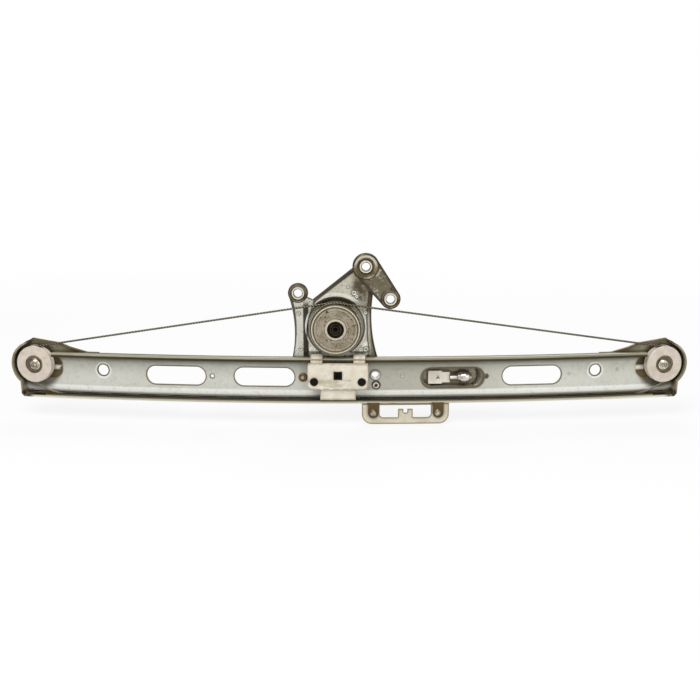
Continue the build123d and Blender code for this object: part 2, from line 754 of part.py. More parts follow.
def carriage_glide():
    """Glide behind the lips: shoes behind hooks and tongue, joined by a bridge clear of rivets."""
    top = rail_top_z - rail_sheet - slide_gap
    bottom = return_z + cable_radius + cable_gap
    rear = rail_sheet + slide_gap
    front = lip_inner_h - slide_gap
    upper = area(rear, front, top - glide_shoe, top)
    upper = rounded(upper, lambda v: v.X < rear + 0.1 and v.Y > top - 0.1, bend_radius - rail_sheet + 0.3)
    upper = rounded(upper, lambda v: v.X > front - 0.1 and v.Y > top - 0.1, 0.8)
    half = carriage_length / 2 - 1
    bridge = area(glide_bridge_h, front, carriage_bottom_z + glide_setback, carriage_top_z - glide_setback)
    glide = bowed(bridge, carriage_arc - half, carriage_arc + half)
    lower = area(rear, front, bottom, bottom + glide_shoe)
    lower += area(glide_bridge_h, front, bottom, carriage_bottom_z + glide_setback + 1)
    half = tongue_length / 2
    glide += bowed(lower, carriage_arc - half, carriage_arc + half)
    for side in (-1, 1):
        arc = carriage_arc + side * hook_spacing / 2
        glide += bowed(upper, arc - hook_width / 2, arc + hook_width / 2)
    foot_h = pulley_middle_h + cable_radius + cable_gap
    foot_bottom = rail_bottom_z + rail_sheet + slide_gap
    for side in (-1, 0, 1):
        arc = carriage_arc + side * (tongue_length / 2 - foot_width / 2)
        glide += bowed(area(foot_h, front, foot_bottom, bottom + 1), arc - foot_width / 2, arc + foot_width / 2)
    return glide


def carriage_plugs():
    solids = []
    for side in (-1, 1):
        arc = carriage_arc
        face = Pos(side * plug_spacing / 2, 0) * Circle(plug_radius)
        solids.append(rail_plane(arc, plug_z) * through(face, carriage_front_h - 2.5, carriage_front_h - 0.2))
    return solids


def square_insert():
    face = Rectangle(square_size, square_size) - Rectangle(square_size - 2.4, square_size - 2.4)
    base = Rectangle(square_size, square_size)
    insert = carriage_front(face, carriage_front_h - 4, carriage_front_h - 0.3, square_z)
    return insert + carriage_front(base, carriage_front_h - 4, carriage_front_h - 3, square_z)


def cable_anchors():
    """Two steel anchors in the foot of the carriage, behind the cable."""
    high = return_z + cable_radius + cable_gap
    low = rail_bottom_z + rail_sheet + slide_gap
    rear = rail_sheet + bend_radius - 1.2
    front = pulley_middle_h - cable_radius - cable_gap
    solids = []
    for side in (-1, 1):
        arc = carriage_arc + side * anchor_spacing / 2
        section = area(rear, front, low, high)
        solids.append(bowed(section, arc - anchor_length / 2, arc + anchor_length / 2))
    return solids


def pocket_cup():
    """Pressed cup behind the third slot, with a flange against the rear of the web."""
    seat = -((pocket_length / 2 + pocket_flange) ** 2) / (2 * bow_radius) - 0.05
    plane = rail_plane(pocket_arc, pocket_z)
    outer_l = pocket_length + 2 * pocket_sheet
    outer_h = pocket_height + 2 * pocket_sheet
    flange = SlotOverall(outer_l + 2 * pocket_flange, outer_h + 2 * pocket_flange)
    cup = through(flange, seat - pocket_sheet, seat) + through(SlotOverall(outer_l, outer_h), -pocket_depth, seat)
    cup -= through(SlotOverall(pocket_length, pocket_height), -pocket_depth + pocket_sheet, seat + 1)
    return plane * cup


def pocket_floor():
    return -pocket_depth + pocket_sheet


def pocket_block():
    """White plastic block on the floor of the pocket, notched at its corners."""
    floor = pocket_floor()
    body = Rectangle(block_length, block_height)
    body -= Pos(block_length / 2 - 3.2, block_height / 2) * Rectangle(6.6, 2.2)
    body -= Pos(block_length / 2 - 3.2, -block_height / 2) * Rectangle(6.6, 2.0)
    block = through(Pos(block_offset, 0) * body, floor, floor + block_depth)
    return rail_plane(pocket_arc, pocket_z - 0.4) * block


def pocket_plunger():
    """Metal plunger out of the block: neck along the rail, then a domed head."""
    floor = pocket_floor()
    start = block_offset + block_length / 2
    neck = Pos(start, 0, floor + plunger_neck_radius + 0.1) * Rot(0, 90, 0) * extrude(
        Circle(plunger_neck_radius), amount=plunger_neck_length
    )
    head_x = start + plunger_neck_length
    head_points = [
        (0, 0), (plunger_neck_radius + 0.8, 0), (plunger_head_radius - 0.6, 3.0), (plunger_head_radius, 6.0),
        (plunger_head_radius - 0.8, 9.0), (plunger_head_radius - 2.4, 11.4), (0, 12.6),
    ]
    face = make_face(Polyline(*[(r, 0, u) for r, u in head_points], close=True))
    head = revolve(face, axis=Axis.Z, revolution_arc=360)
    head = Pos(head_x, 0, floor + plunger_head_radius + 0.1) * Rot(0, 90, 0) * head
    lift = plunger_head_radius - plunger_neck_radius
    return rail_plane(pocket_arc, pocket_z - 0.4) * (Pos(0, 0, lift) * neck + head)


def plate_rivets():
    """Rivets through the rail's web and the plate."""
    rear = -plate_seat_gap - plate_sheet - 0.5
    solids = []
    for arc, z, radius in joint_places()[:2]:
        points = [
            (0, rear - 1.0), (plate_rivet_radius, rear - 1.0), (plate_rivet_radius, rear), (radius, rear),
            (radius, rail_sheet), (plate_rivet_radius, rail_sheet), (plate_rivet_radius, rail_sheet + 0.6),
            (plate_rivet_radius - 1.2, rail_sheet + plate_rivet_head), (1.3, rail_sheet + plate_rivet_head),
            (1.0, rail_sheet + 0.5), (0, rail_sheet + 0.4),
        ]
        solids.append(turned_on_rail(points, arc, z))
    return solids


def collar_stud():
    """Hollow collar through web and plate, above the lower rivet."""
    arc, z, radius = joint_places()[2]
    rear = -plate_seat_gap - plate_sheet - 0.5
    bore = stud_bore_radius
    points = [
        (bore, rear - 0.8), (stud_radius, rear - 0.8), (stud_radius, rear), (radius, rear), (radius, rail_sheet),
        (stud_radius, rail_sheet), (stud_radius, rail_sheet + 0.6), (stud_radius - 0.8, rail_sheet + stud_height),
        (bore, rail_sheet + stud_height),
    ]
    return turned_on_rail(points, arc, z)


def build():
    arm_front = pad_front_y - plate_sheet
    return {
        "guide_rail": guide_rail(),
        "drum_plate": drum_plate(),
        "strap_arm": strap_arm(),
        "upper_eyelet": eyelet(
            upper_eyelet_x, upper_eyelet_z, upper_eyelet_radius, arm_front, pad_front_y + plate_sheet
        ),
        "left_eyelet": eyelet(left_eyelet_x, left_eyelet_z, small_eyelet_radius, plate_front_y, plate_rear_y),
        "arm_eyelet": eyelet(arm_eyelet_x, arm_eyelet_z, small_eyelet_radius, arm_front, pad_front_y),
        "drum_bush": drum_bush(),
        "cable_drum": cable_drum(),
        "drum_hub": drum_hub(),
        "drum_clip": drum_clip(),
        "pulley_left": pulley(-1),
        "pulley_right": pulley(1),
        "pulley_bush_left": pulley_bush(-1),
        "pulley_bush_right": pulley_bush(1),
        "pulley_axle_left": pulley_axle(-1),
        "pulley_axle_right": pulley_axle(1),
        "pulley_washer_left": pulley_washer(-1),
        "pulley_washer_right": pulley_washer(1),
        "carriage_body": carriage_body(),
        "carriage_glide": carriage_glide(),
        "carriage_plugs": carriage_plugs(),
        "square_insert": square_insert(),
        "cable_anchors": cable_anchors(),
        "harness_bracket": harness_bracket(),
        "bracket_rivets": bracket_rivets(),
        "pocket_cup": pocket_cup(),
        "pocket_block": pocket_block(),
        "pocket_plunger": pocket_plunger(),
        "plate_rivets": plate_rivets(),
        "collar_stud": collar_stud(),
        "cable_left": cable(-1),
        "cable_right": cable(1),
    }


os.makedirs("parts", exist_ok=True)
for name, shape in build().items():
    solids = shape if isinstance(shape, list) else [shape]
    export_step(Compound(children=list(solids)) if len(solids) > 1 else solids[0], f"parts/{name}.step")
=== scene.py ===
import math

import bpy
from mathutils import Matrix, Vector


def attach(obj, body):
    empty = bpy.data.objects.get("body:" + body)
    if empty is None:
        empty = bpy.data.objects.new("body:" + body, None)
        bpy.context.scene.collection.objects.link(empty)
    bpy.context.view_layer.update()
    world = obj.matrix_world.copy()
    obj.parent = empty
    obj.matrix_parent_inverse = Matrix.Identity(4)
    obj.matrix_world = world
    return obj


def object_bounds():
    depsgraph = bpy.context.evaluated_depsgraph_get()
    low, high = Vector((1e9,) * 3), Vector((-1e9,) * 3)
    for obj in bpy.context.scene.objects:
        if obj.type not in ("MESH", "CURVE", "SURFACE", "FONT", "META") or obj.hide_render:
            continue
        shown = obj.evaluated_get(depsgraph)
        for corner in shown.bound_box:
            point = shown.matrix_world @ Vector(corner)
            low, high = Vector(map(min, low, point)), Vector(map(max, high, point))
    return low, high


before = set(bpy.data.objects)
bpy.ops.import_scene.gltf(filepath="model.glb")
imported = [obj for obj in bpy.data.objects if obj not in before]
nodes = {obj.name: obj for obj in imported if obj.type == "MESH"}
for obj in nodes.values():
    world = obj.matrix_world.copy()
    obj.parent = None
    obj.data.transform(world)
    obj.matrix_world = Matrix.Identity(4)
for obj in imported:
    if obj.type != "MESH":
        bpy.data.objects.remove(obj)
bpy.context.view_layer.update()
print("frame loaded:", len(nodes), "solids")

# Lengths below are in millimetres, apart from those noted as metres, which Blender works in
mm = 0.001
perMetre = 1000

camera = {
    "elevation": 12.0,
    "distance": 900.0,
    "aim": (11.4, -4.0, -18.9),
    "pixels": 700,
    "focalPixels": 1125.0,
    "sensor": 36,
    "reach": 50,  # metres
}
rail = {
    "bowRadius": 1400.0,
    "bowX": 10.8,
    "webRearY": -4.0,
    "top": -23.6,
    "bottom": -61.0,
    "sheet": 1.5,
    "pulleyZ": -33.9,
}


def placeOnRail(arc, z, h=0.0):
    # x along the rail, y up it and z out of the web, as a matrix in metres
    a = arc / rail["bowRadius"]
    r = rail["bowRadius"] + h
    x = rail["bowX"] + r * math.sin(a)
    y = rail["webRearY"] + rail["bowRadius"] - r * math.cos(a)
    turn = Matrix((
        (math.cos(a), 0, math.sin(a)),
        (math.sin(a), 0, -math.cos(a)),
        (0, 1, 0),
    )).to_4x4()
    return Matrix.Translation(Vector((x, y, z)) * mm) @ turn


# Camera, fitted to the photograph
def makeCamera():
    data = bpy.data.cameras.new("photoCamera")
    data.sensor_width = camera["sensor"]
    data.lens = camera["sensor"] * camera["focalPixels"] / camera["pixels"]
    data.clip_end = camera["reach"]
    made = bpy.data.objects.new("photoCamera", data)
    bpy.context.scene.collection.objects.link(made)
    tilt = math.radians(camera["elevation"])
    back = Vector((0, -math.cos(tilt), math.sin(tilt)))
    made.location = (Vector(camera["aim"]) + back * camera["distance"]) * mm
    made.rotation_euler = (math.pi / 2 - tilt, 0, 0)
    bpy.context.scene.camera = made


makeCamera()
print("camera made")


# Shader wiring: a Wire is a node's output, and arithmetic on it adds Math nodes
class Wire:
    def __init__(self, finish, socket):
        self.finish = finish
        self.socket = socket

    def math(self, operation, other=0.0, swapped=False):
        values = (other, self) if swapped else (self, other)
        return self.finish.node("Math", {"operation": operation}, {0: values[0], 1: values[1]})

    def __add__(self, other):
        return self.math("ADD", other)

    def __mul__(self, other):
        return self.math("MULTIPLY", other)

    def __sub__(self, other):
        return self.math("SUBTRACT", other)

    def __rsub__(self, other):
        return self.math("SUBTRACT", other, True)

    def __pow__(self, other):
        return self.math("POWER", other)

    __radd__ = __add__
    __rmul__ = __mul__

    def sine(self):
        return self.math("SINE")

    def size(self):
        return self.math("ABSOLUTE")

    def atMost(self, other):
        return self.math("MINIMUM", other)

    def atLeast(self, other):
        return self.math("MAXIMUM", other)

    def rise(self, low, high):
        # 0 below low, 1 above high, smooth between them; falls where low is above high
        flip = low > high
        span = (high, low) if flip else (low, high)
        ends = (1.0, 0.0) if flip else (0.0, 1.0)
        return self.finish.node(
            "MapRange",
            {"interpolation_type": "SMOOTHSTEP"},
            {0: self, 1: span[0], 2: span[1], 3: ends[0], 4: ends[1]},
        )

    def band(self, low, high, soft):
        return self.rise(low - soft, low) * self.rise(high + soft, high)


def colour(red, green, blue):
    # sRGB numbers of 0 to 255, turned scene linear
    def linear(part):
        part /= 255
        return part / 12.92 if part <= 0.04045 else ((part + 0.055) / 1.055) ** 2.4

    return (linear(red), linear(green), linear(blue), 1.0)


class Finish:
    rays = 8  # samples that look for corners and edges

    def __init__(self, name):
        self.material = bpy.data.materials.new(name)
        self.material.use_nodes = True
        self.tree = self.material.node_tree
        self.shader = self.tree.nodes["Principled BSDF"]
        self.shade = None
        self.place = self.node("TexCoord", output="Object")
        parts = self.node("SeparateXYZ", {}, {0: self.place}).socket.node
        self.x, self.y, self.z = (Wire(self, parts.outputs[k]) * perMetre for k in range(3))

    def node(self, kind, settings=None, sockets=None, output=0):
        made = self.tree.nodes.new("ShaderNode" + kind)
        for key, value in (settings or {}).items():
            setattr(made, key, value)
        for key, value in (sockets or {}).items():
            self.plug(made.inputs[key], value)
        return Wire(self, made.outputs[output])

    def plug(self, socket, value):
        if isinstance(value, Wire):
            self.tree.links.new(value.socket, socket)
        else:
            socket.default_value = value

    def noise(self, size, detail=3.0, rough=0.55, stretch=(1, 1, 1), shift=0.0):
        # size is the width of a patch in millimetres
        where = self.node("VectorMath", {"operation": "MULTIPLY"}, {0: self.place, 1: stretch})
        if shift:
            where = self.node("VectorMath", {"operation": "ADD"}, {0: where, 1: (shift, shift, shift)})
        sockets = {"Vector": where, "Scale": perMetre / size, "Detail": detail, "Roughness": rough}
        return self.node("TexNoise", {}, sockets)

    def cells(self, size):
        # size is the width of a cell in millimetres
        return self.node("TexVoronoi", {}, {"Vector": self.place, "Scale": perMetre / size}, "Distance")

    def mix(self, amount, first, second):
        # each colour is a wire, or sRGB numbers of 0 to 255
        first, second = (part if isinstance(part, Wire) else colour(*part) for part in (first, second))
        return self.node("Mix", {"data_type": "RGBA"}, {0: amount, 6: first, 7: second}, 2)

    def lay(self, amount, tone, under=None):
        # a tone over the colour so far, or over another, as strongly as amount says
        self.shade = self.mix(amount, self.shade if under is None else under, tone)
        self.plug(self.shader.inputs["Base Color"], self.shade)

    def crevice(self, reach):
        # 1 in corners narrower than reach millimetres, 0 in the open
        return 1 - self.node("AmbientOcclusion", {"samples": self.rays}, {"Distance": reach * mm}, "AO")

    def border(self, reach):
        # 1 along outer edges; the reach in millimetres is less than the sheet's thickness
        settings = {"samples": self.rays, "inside": True}
        inward = self.node("AmbientOcclusion", settings, {"Distance": reach * mm}, "AO")
        return (1 - inward).rise(0.0, 0.2)

    def ringFrom(self, x, z):
        # distance from an axis along y
        dx = self.x - x
        dz = self.z - z
        return (dx * dx + dz * dz) ** 0.5

    def blob(self, x, z, wide, high, soft):
        # ellipse on the front, 1 inside and 0 outside
        dx = (self.x - x) * (1 / wide)
        dz = (self.z - z) * (1 / high)
        return (dx * dx + dz * dz).rise(1 + soft, 1 - soft)

    def height(self):
        # distance out of the web of the bowed rail
        dx = self.x - rail["bowX"]
        dy = self.y - (rail["webRearY"] + rail["bowRadius"])
        return (dx * dx + dy * dy) ** 0.5 - rail["bowRadius"]

    def bump(self, height, strength, depth):
        made = self.node("Bump", {}, {"Height": height, "Strength": strength, "Distance": depth * mm})
        self.plug(self.shader.inputs["Normal"], made)

    def surface(self, rough, metal=0.0, gloss=0.5):
        self.plug(self.shader.inputs["Roughness"], rough)
        self.plug(self.shader.inputs["Metallic"], metal)
        self.plug(self.shader.inputs["Specular IOR Level"], gloss)


# Zinc-plated steel: slow drift of tone, spangle and fine grain
zinc = {
    "pale": (203, 203, 194),
    "dull": (182, 182, 170),
    "shadeAndGrime": (82, 70, 50),
    "driftSize": 26,
    "spangleSize": 2.2,
    "grainSize": 0.9,
    "metal": 0.3,
    "gloss": 0.2,
}


def zincBase(made, pale, dull, amount=0.6):
    broad = made.noise(zinc["driftSize"], 4, 0.6)
    spangle = made.cells(zinc["spangleSize"])
    fine = made.noise(zinc["grainSize"], 2, 0.6)
    tone = (broad.rise(0.38, 0.66) * 0.6 + spangle.rise(0.1, 0.75) * 0.15 + fine * 0.25) * amount
    made.lay(tone, dull, pale)
    return broad, spangle, fine


railLook = {
    "webTop": (156, 154, 138),
    "webMiddle": (158, 155, 140),
    "underLip": (66, 56, 34),
    "bright": (238, 239, 233),
    "lowerBend": (128, 122, 100),
    "black": (8, 7, 3),
    "lipOlive": (96, 89, 66),
    "lipPale": (128, 122, 98),
    "lipFoot": (206, 201, 184),
    "lipEdge": (44, 36, 22),
    "upperBend": (176, 172, 150),
    "crownRear": (70, 64, 44),
    "crownFront": (176, 172, 152),
    "tab": (84, 68, 40),
    "endOlive": (156, 152, 128),
    "endStain": (92, 84, 58),
    "endRim": (140, 130, 104),
    "rust": (52, 36, 24),
    "panShadow": (70, 58, 36),
    "recess": (112, 104, 80),
    "recessMiddle": (96, 88, 70),
    "bead": (222, 219, 206),
    "greaseAndShadow": (62, 52, 32),
    "brown": (92, 74, 44),
    "specks": (118, 108, 84),
    "mottle": (120, 114, 94),
    "dent": (112, 88, 58),
    # heights out of the web: inside the channel, and from the lips on
    "insideH": (8.2, 7.4),
    "lipH": (8.3, 8.7),
    # heights z across the web: dull part, painted highlight line, painted shade on the lower bend, black
    # line of grease and painted shade
    "dullZ": (-50, -28),
    "gleamZ": (-54.8, -52.4),
    "bendZ": (-55.6, -56.8),
    "blackZ": (-57.0, -57.7),
    # stretch along x where the web is dull, half width of a tab, dent beside the left rivet
    "middleX": (10, 95),
    "tabHalf": (5.2, 4.6),
    "dentAt": (-26.3, -41.0),
    # distances from the middle of the bow: olive end, rim round the pulley, rust, shadow in the pan
    "endFrom": (222, 244),
    "rimFrom": (258, 266),
    "rustFrom": (256, 264),
    "panFrom": (232, 246),
    # places on both sides of the middle of the bow, and radii round them
    "fixingHoleX": 200.3,
    "fixingHoleZ": -38.3,
    "pulleyX": 255.5,
    "haloDrop": 2.0,
    "haloRadius": (22.5, 17.0),
    "recessX": 242.7,
    "recessZ": -37.1,
    "recessRadius": (9.2, 7.6),
    # distances from the middle of the bead, and radii of a fixing hole's rim
    "beadShadow": (3.2, 2.2),
    "beadHalf": (2.6, 0.8),
    "holeBright": (5.4, 6.6),
    "holeBrown": (5.6, 5.0),
    # heights z where the ends start, and of their rusty corners
    "endZ": (-25, -22),
    "upperRustZ": (-20, -15),
    "lowerRustZ": (-54, -58),
    # heights below the top of the rail where the painted shadow under the lip ends and is full
    "underLipDrop": (9.4, 3.2),
}

# Places on the front, x and z: the drum's axis and the centres of the rivets
drumAxis = (0, 0)
rivets = {
    "left": (-26.8, -41.0),
    "right": (32.2, -47.5),
    "bracket": [(30.0, -68.4), (81.7, -68.4)],
}


def layRailWeb(made, h, inside, broad):
    # duller towards the top, painted shadow under the lip, a painted highlight and painted shade along the
    # lower bend, then a black line of grease and painted shade
    top = rail["top"]
    made.lay(made.z.rise(*railLook["dullZ"]) * inside * 0.3, railLook["webTop"])
    made.lay(made.x.band(*railLook["middleX"], 60) * inside * 0.7, railLook["webMiddle"])
    # painted shadow under the upper lip
    low, high = railLook["underLipDrop"]
    under = made.z.rise(top - low, top - high) * inside * h.rise(-0.3, 0.8)
    made.lay((under * (0.7 + broad * 0.6)).atMost(0.95), railLook["underLip"])
    # painted highlight along the lower bend
    made.lay(made.z.band(*railLook["gleamZ"], 1.6) * h.band(1.2, 3.4, 0.5) * 0.8, railLook["bright"])
    # painted shade on the lower bend
    made.lay(made.z.rise(*railLook["bendZ"]) * h.band(1.2, 8.0, 0.5) * 0.75, railLook["lowerBend"])
    # black line in the lower corner: grease and painted shade
    greaseAndShade = made.z.rise(*railLook["blackZ"]) * h.band(1.2, 8.3, 0.3)
    made.lay(greaseAndShade, railLook["black"])
    return greaseAndShade


def layRailLips(made, h, broad):
    # the lips: olive with streaks, a painted highlight on the bends, dark at the cut edges
    top = rail["top"]
    bottom = rail["bottom"]
    lip = h.rise(*railLook["lipH"])
    streak = made.noise(14, 3, 0.6, (0.15, 1, 1), 0.3)
    lipTone = made.mix(streak.rise(0.4, 0.62) * 0.7, railLook["lipOlive"], railLook["lipPale"])
    # painted highlight on the bend along the foot of the lower lip
    lipTone = made.mix(made.z.rise(bottom + 2.6, bottom + 0.8) * 0.95, lipTone, railLook["lipFoot"])
    made.lay(lip * 0.96, lipTone)
    # painted highlight on the upper bend
    bend = made.z.band(top - 1.0, top - 0.4, 0.4) * 0.3
    made.lay(bend * h.rise(7.0, 8.5), railLook["upperBend"])
    # painted shade along the rear of the crown, a painted highlight along its front
    crown = made.z.rise(top - 0.5, top - 0.1)
    made.lay(crown * h.rise(6.0, 2.0) * 0.85, railLook["crownRear"])
    made.lay(crown * h.rise(4.0, 9.0) * 0.5, railLook["crownFront"])
    cut = made.z.band(top - 3.4, top - 1.8, 0.5) + made.z.band(bottom + 2.7, bottom + 3.4, 0.2)
    made.lay(cut.atMost(1.0) * lip * 0.9, railLook["lipEdge"])
    # tabs below the rail are brown
    (firstX, firstZ), (lastX, lastZ) = rivets["bracket"]
    across = (made.x - (firstX + lastX) / 2).size() - (lastX - firstX) / 2
    onTab = across.size().rise(*railLook["tabHalf"])
    tab = made.z.rise(bottom + 1.6, bottom + 0.8) * h.rise(7.8, 8.4) * onTab
    made.lay((tab * (0.8 + broad * 0.4)).atMost(1.0), railLook["tab"])


def layRailEnds(made, h, inside, broad, facet):
    # the ends are olive, stained and rusty at the corners, with shadow in the pans
    away = (made.x - rail["bowX"]).size()
    end = away.rise(*railLook["endFrom"]) * made.z.rise(*railLook["endZ"])
    made.lay(end * (0.55 + facet * 0.5), railLook["endOlive"])
    made.lay(end * made.noise(4, 3, 0.7, shift=0.6).rise(0.5, 0.62) * 0.5, railLook["endStain"])
    made.lay(away.rise(*railLook["rimFrom"]) * h.rise(2.0, 3.2) * 0.7, railLook["endRim"])
    corner = made.z.rise(*railLook["upperRustZ"]) + made.z.rise(*railLook["lowerRustZ"])
    rust = away.rise(*railLook["rustFrom"]) * corner.atMost(1.0) * facet.rise(0.36, 0.6)
    made.lay(rust, railLook["rust"])
    pan = made.crevice(7.0).rise(0.3, 0.8) * away.rise(*railLook["panFrom"]) * inside
    made.lay(pan * 0.85, railLook["panShadow"])
    for side in (-1, 1):
        # D-shaped recess: painted shade in it, with a painted highlight along the bead across it
        recess = made.ringFrom(rail["bowX"] + side * railLook["recessX"], railLook["recessZ"])
        dark = recess.rise(*railLook["recessRadius"]) * inside
        bead = (made.z - railLook["recessZ"]).size()
        made.lay(dark * (0.6 + broad * 0.4), railLook["recess"])
        made.lay(dark * bead.rise(*railLook["beadShadow"]) * 0.8, railLook["recessMiddle"])
        # brown round the pulley, centred below its axis: old grease and a painted shadow of the pulley
        haloZ = rail["pulleyZ"] - railLook["haloDrop"]
        halo = made.ringFrom(rail["bowX"] + side * railLook["pulleyX"], haloZ)
        greaseAndShadow = halo.rise(*railLook["haloRadius"]) * inside * h.rise(0.5, 1.2)
        made.lay(greaseAndShadow * (0.6 + broad * 0.5), railLook["greaseAndShadow"])
        # painted highlight along the bead
        wearAndHighlight = bead.rise(*railLook["beadHalf"]) * facet.rise(0.62, 0.52)
        made.lay(dark * wearAndHighlight * 0.9, railLook["bead"])


def railFinish():
    made = Finish("railZinc")
    broad, spangle, fine = zincBase(made, zinc["pale"], zinc["dull"])
    h = made.height()
    inside = h.rise(*railLook["insideH"])
    greaseAndShade = layRailWeb(made, h, inside, broad)
    layRailLips(made, h, broad)
    layRailEnds(made, h, inside, broad, made.noise(7, 3, 0.65))
    # rims of the fixing holes: painted shade inside, a painted highlight outside
    for side in (-1, 1):
        rim = made.ringFrom(rail["bowX"] + side * railLook["fixingHoleX"], railLook["fixingHoleZ"])
        made.lay(rim.band(*railLook["holeBright"], 0.5) * inside * 0.6, railLook["bright"])
        made.lay(rim.rise(*railLook["holeBrown"]) * inside * 0.85, railLook["brown"])
    # brown outlines of the slots, painted shade on their walls; dirt and painted shade in the corners;
    # specks
    made.lay(made.border(1.3) * h.rise(0.3, 0.8) * h.rise(3.0, 2.0) * 0.9, railLook["brown"])
    made.lay(made.crevice(3.0).rise(0.3, 0.9) * 0.8, zinc["shadeAndGrime"])
    made.lay(made.noise(1.3, 2, 0.75, shift=0.7).rise(0.64, 0.71) * 0.55, railLook["specks"])
    made.lay(made.noise(3.5, 3, 0.7, shift=0.4).rise(0.52, 0.66) * inside * 0.16, railLook["mottle"])
    dent = made.ringFrom(*railLook["dentAt"]).rise(4.2, 3.0)
    made.lay(dent * made.noise(2.0, 3, 0.6).rise(0.35, 0.6) * inside * 0.8, railLook["dent"])
    rough = 0.33 + broad * 0.12 + fine * 0.06 + greaseAndShade * 0.25
    made.surface(rough, zinc["metal"] - greaseAndShade * 0.25, zinc["gloss"])
    made.bump(spangle * 0.3 + fine * 0.6 + broad * 0.6, 0.16, 0.1)
    return made


plateLook = {
    "pale": (208, 206, 192),
    "dull": (146, 143, 124),
    "neck": (104, 96, 74),
    "upper": (148, 143, 122),
    "stain": (66, 54, 34),
    "bright": (232, 232, 222),
    "column": (204, 204, 194),
    "joggle": (30, 26, 16),
    "foot": (34, 28, 18),
    "olive": (92, 83, 58),
    "groove": (36, 30, 18),
    "rimHighlight": (226, 225, 215),
    "arch": (214, 213, 202),
    "edge": (50, 40, 24),
    "shadeAndGrime": (62, 52, 36),
    "specks": (74, 64, 44),
    # x, z, half width and half height of stained and of bright patches
    "stainAt": (25, 31, 12, 21),
    "brightAt": (11, 30, 7, 8),
    "scuffsAt": [(24, -18, 6, 6), (-17, -19, 5, 5)],
    # places along x or z where a tone starts or runs
    "neckZ": (30, 42),
    "columnX": (-23.5, -25.5),
    "joggleX": (-25.6, -21.9),
    "footZ": (-24.6, -21.0),
    "rightX": (26.2, 29.0),
    # heights z where a tone starts or ends
    "upperFrom": (20, 32),
    "upperTo": (52, 44),
    "joggleTo": (22, 16),
    "rightTo": (34, 26),
    "grooveFrom": (15, 19),
    "rimTo": (16, 8),
    "archFrom": (18, 22),
    # radii about the drum's axis
    "grooveRadii": (21.0, 24.4),
    "rimRadii": (22.6, 24.2),
    "archRadii": (25.4, 27.4),
    # centre x and z and radius of the arcs that bound the plate
    "leftArc": (-126.9, -1.6, 94.3),
    "rightArc": (145.3, 8.0, 116.8),
    # a point of the sloping edge and its outward direction
    "slope": (-18.2, 21.9, -0.624, 0.782),
}


def plateEdges(made):
    # 1 along the edges of the sheet, the two arcs at its sides and the slope
    edges = made.border(1.3)
    for x, z, reach in (plateLook["leftArc"], plateLook["rightArc"]):
        edges = edges.atLeast(made.ringFrom(x, z).rise(reach + 2.0, reach + 1.1))
    x, z, outX, outZ = plateLook["slope"]
    slope = (made.x - x) * outX + (made.z - z) * outZ
    return edges.atLeast(slope.rise(-3.1, -2.4) * made.x.rise(-19, -17))


def plateFinish():
    made = Finish("plateZinc")
    broad, spangle, fine = zincBase(made, plateLook["pale"], plateLook["dull"], 0.85)
    # brown stain towards the upper eyelet, brighter left of it
    blot = made.noise(8, 4, 0.65)
    stain = made.blob(*plateLook["stainAt"], 0.5) * (0.45 + blot.rise(0.36, 0.56) * 0.55)
    made.lay(made.z.rise(*plateLook["neckZ"]) * blot.rise(0.36, 0.6) * 0.6, plateLook["neck"])
    bright = made.blob(*plateLook["brightAt"], 0.6) * made.noise(5, 3, 0.6, shift=0.2).rise(0.36, 0.56)
    made.lay(bright * 0.3, plateLook["bright"])
    upper = made.z.rise(*plateLook["upperFrom"]) * made.z.rise(*plateLook["upperTo"])
    made.lay(upper * 0.5, plateLook["upper"])
    made.lay(stain * 0.95, plateLook["stain"])
    first, second = (made.blob(*place, 0.5) for place in plateLook["scuffsAt"])
    scuffs = (first + second).atMost(1.0) * made.noise(3, 3, 0.7).rise(0.4, 0.55)
    made.lay(scuffs * 0.8, plateLook["bright"])
    # the left column is pale; painted shade on the joggle beside it
    made.lay(made.x.rise(*plateLook["columnX"]) * 0.5, plateLook["column"])
    joggle = made.x.band(*plateLook["joggleX"], 0.6) * made.z.rise(*plateLook["joggleTo"])
    made.lay(joggle * 0.95, plateLook["joggle"])
    # painted shadow along the foot, where the plate meets the top of the rail
    foot = made.z.band(*plateLook["footZ"], 0.8) * made.noise(5, 3, 0.7, shift=0.1).rise(0.52, 0.58)
    made.lay(foot * 0.9, plateLook["foot"])
    # painted shade along the right edge
    right = made.x.rise(*plateLook["rightX"]) * made.z.rise(*plateLook["rightTo"])
    made.lay(right * 0.85, plateLook["olive"])
    # painted shadow in the groove round the drum, widest at the top, a painted highlight on the rim below
    # and on the arch above
    radius = made.ringFrom(*drumAxis)
    groove = radius.band(*plateLook["grooveRadii"], 0.5) * made.z.rise(*plateLook["grooveFrom"])
    made.lay(groove * 0.95, plateLook["groove"])
    rim = radius.band(*plateLook["rimRadii"], 0.5) * made.z.rise(*plateLook["rimTo"])
    made.lay(rim * 0.9, plateLook["rimHighlight"])
    arch = radius.band(*plateLook["archRadii"], 0.6) * made.z.rise(*plateLook["archFrom"])
    made.lay(arch * 0.7, plateLook["arch"])
    # painted shade along the edges of the sheet, its side arcs and the slope
    made.lay(plateEdges(made) * 0.9, plateLook["edge"])
    # dirt and painted shade in the corners
    made.lay(made.crevice(3.0).rise(0.25, 0.85) * 0.85, plateLook["shadeAndGrime"])
    made.lay(made.noise(1.8, 2, 0.75, shift=0.7).rise(0.6, 0.68) * 0.7, plateLook["specks"])
    made.surface(0.28 + broad * 0.2 + fine * 0.06, zinc["metal"], zinc["gloss"])
    made.bump(spangle * 0.4 + fine * 0.5 + broad * 1.6, 0.32, 0.2)
    return made


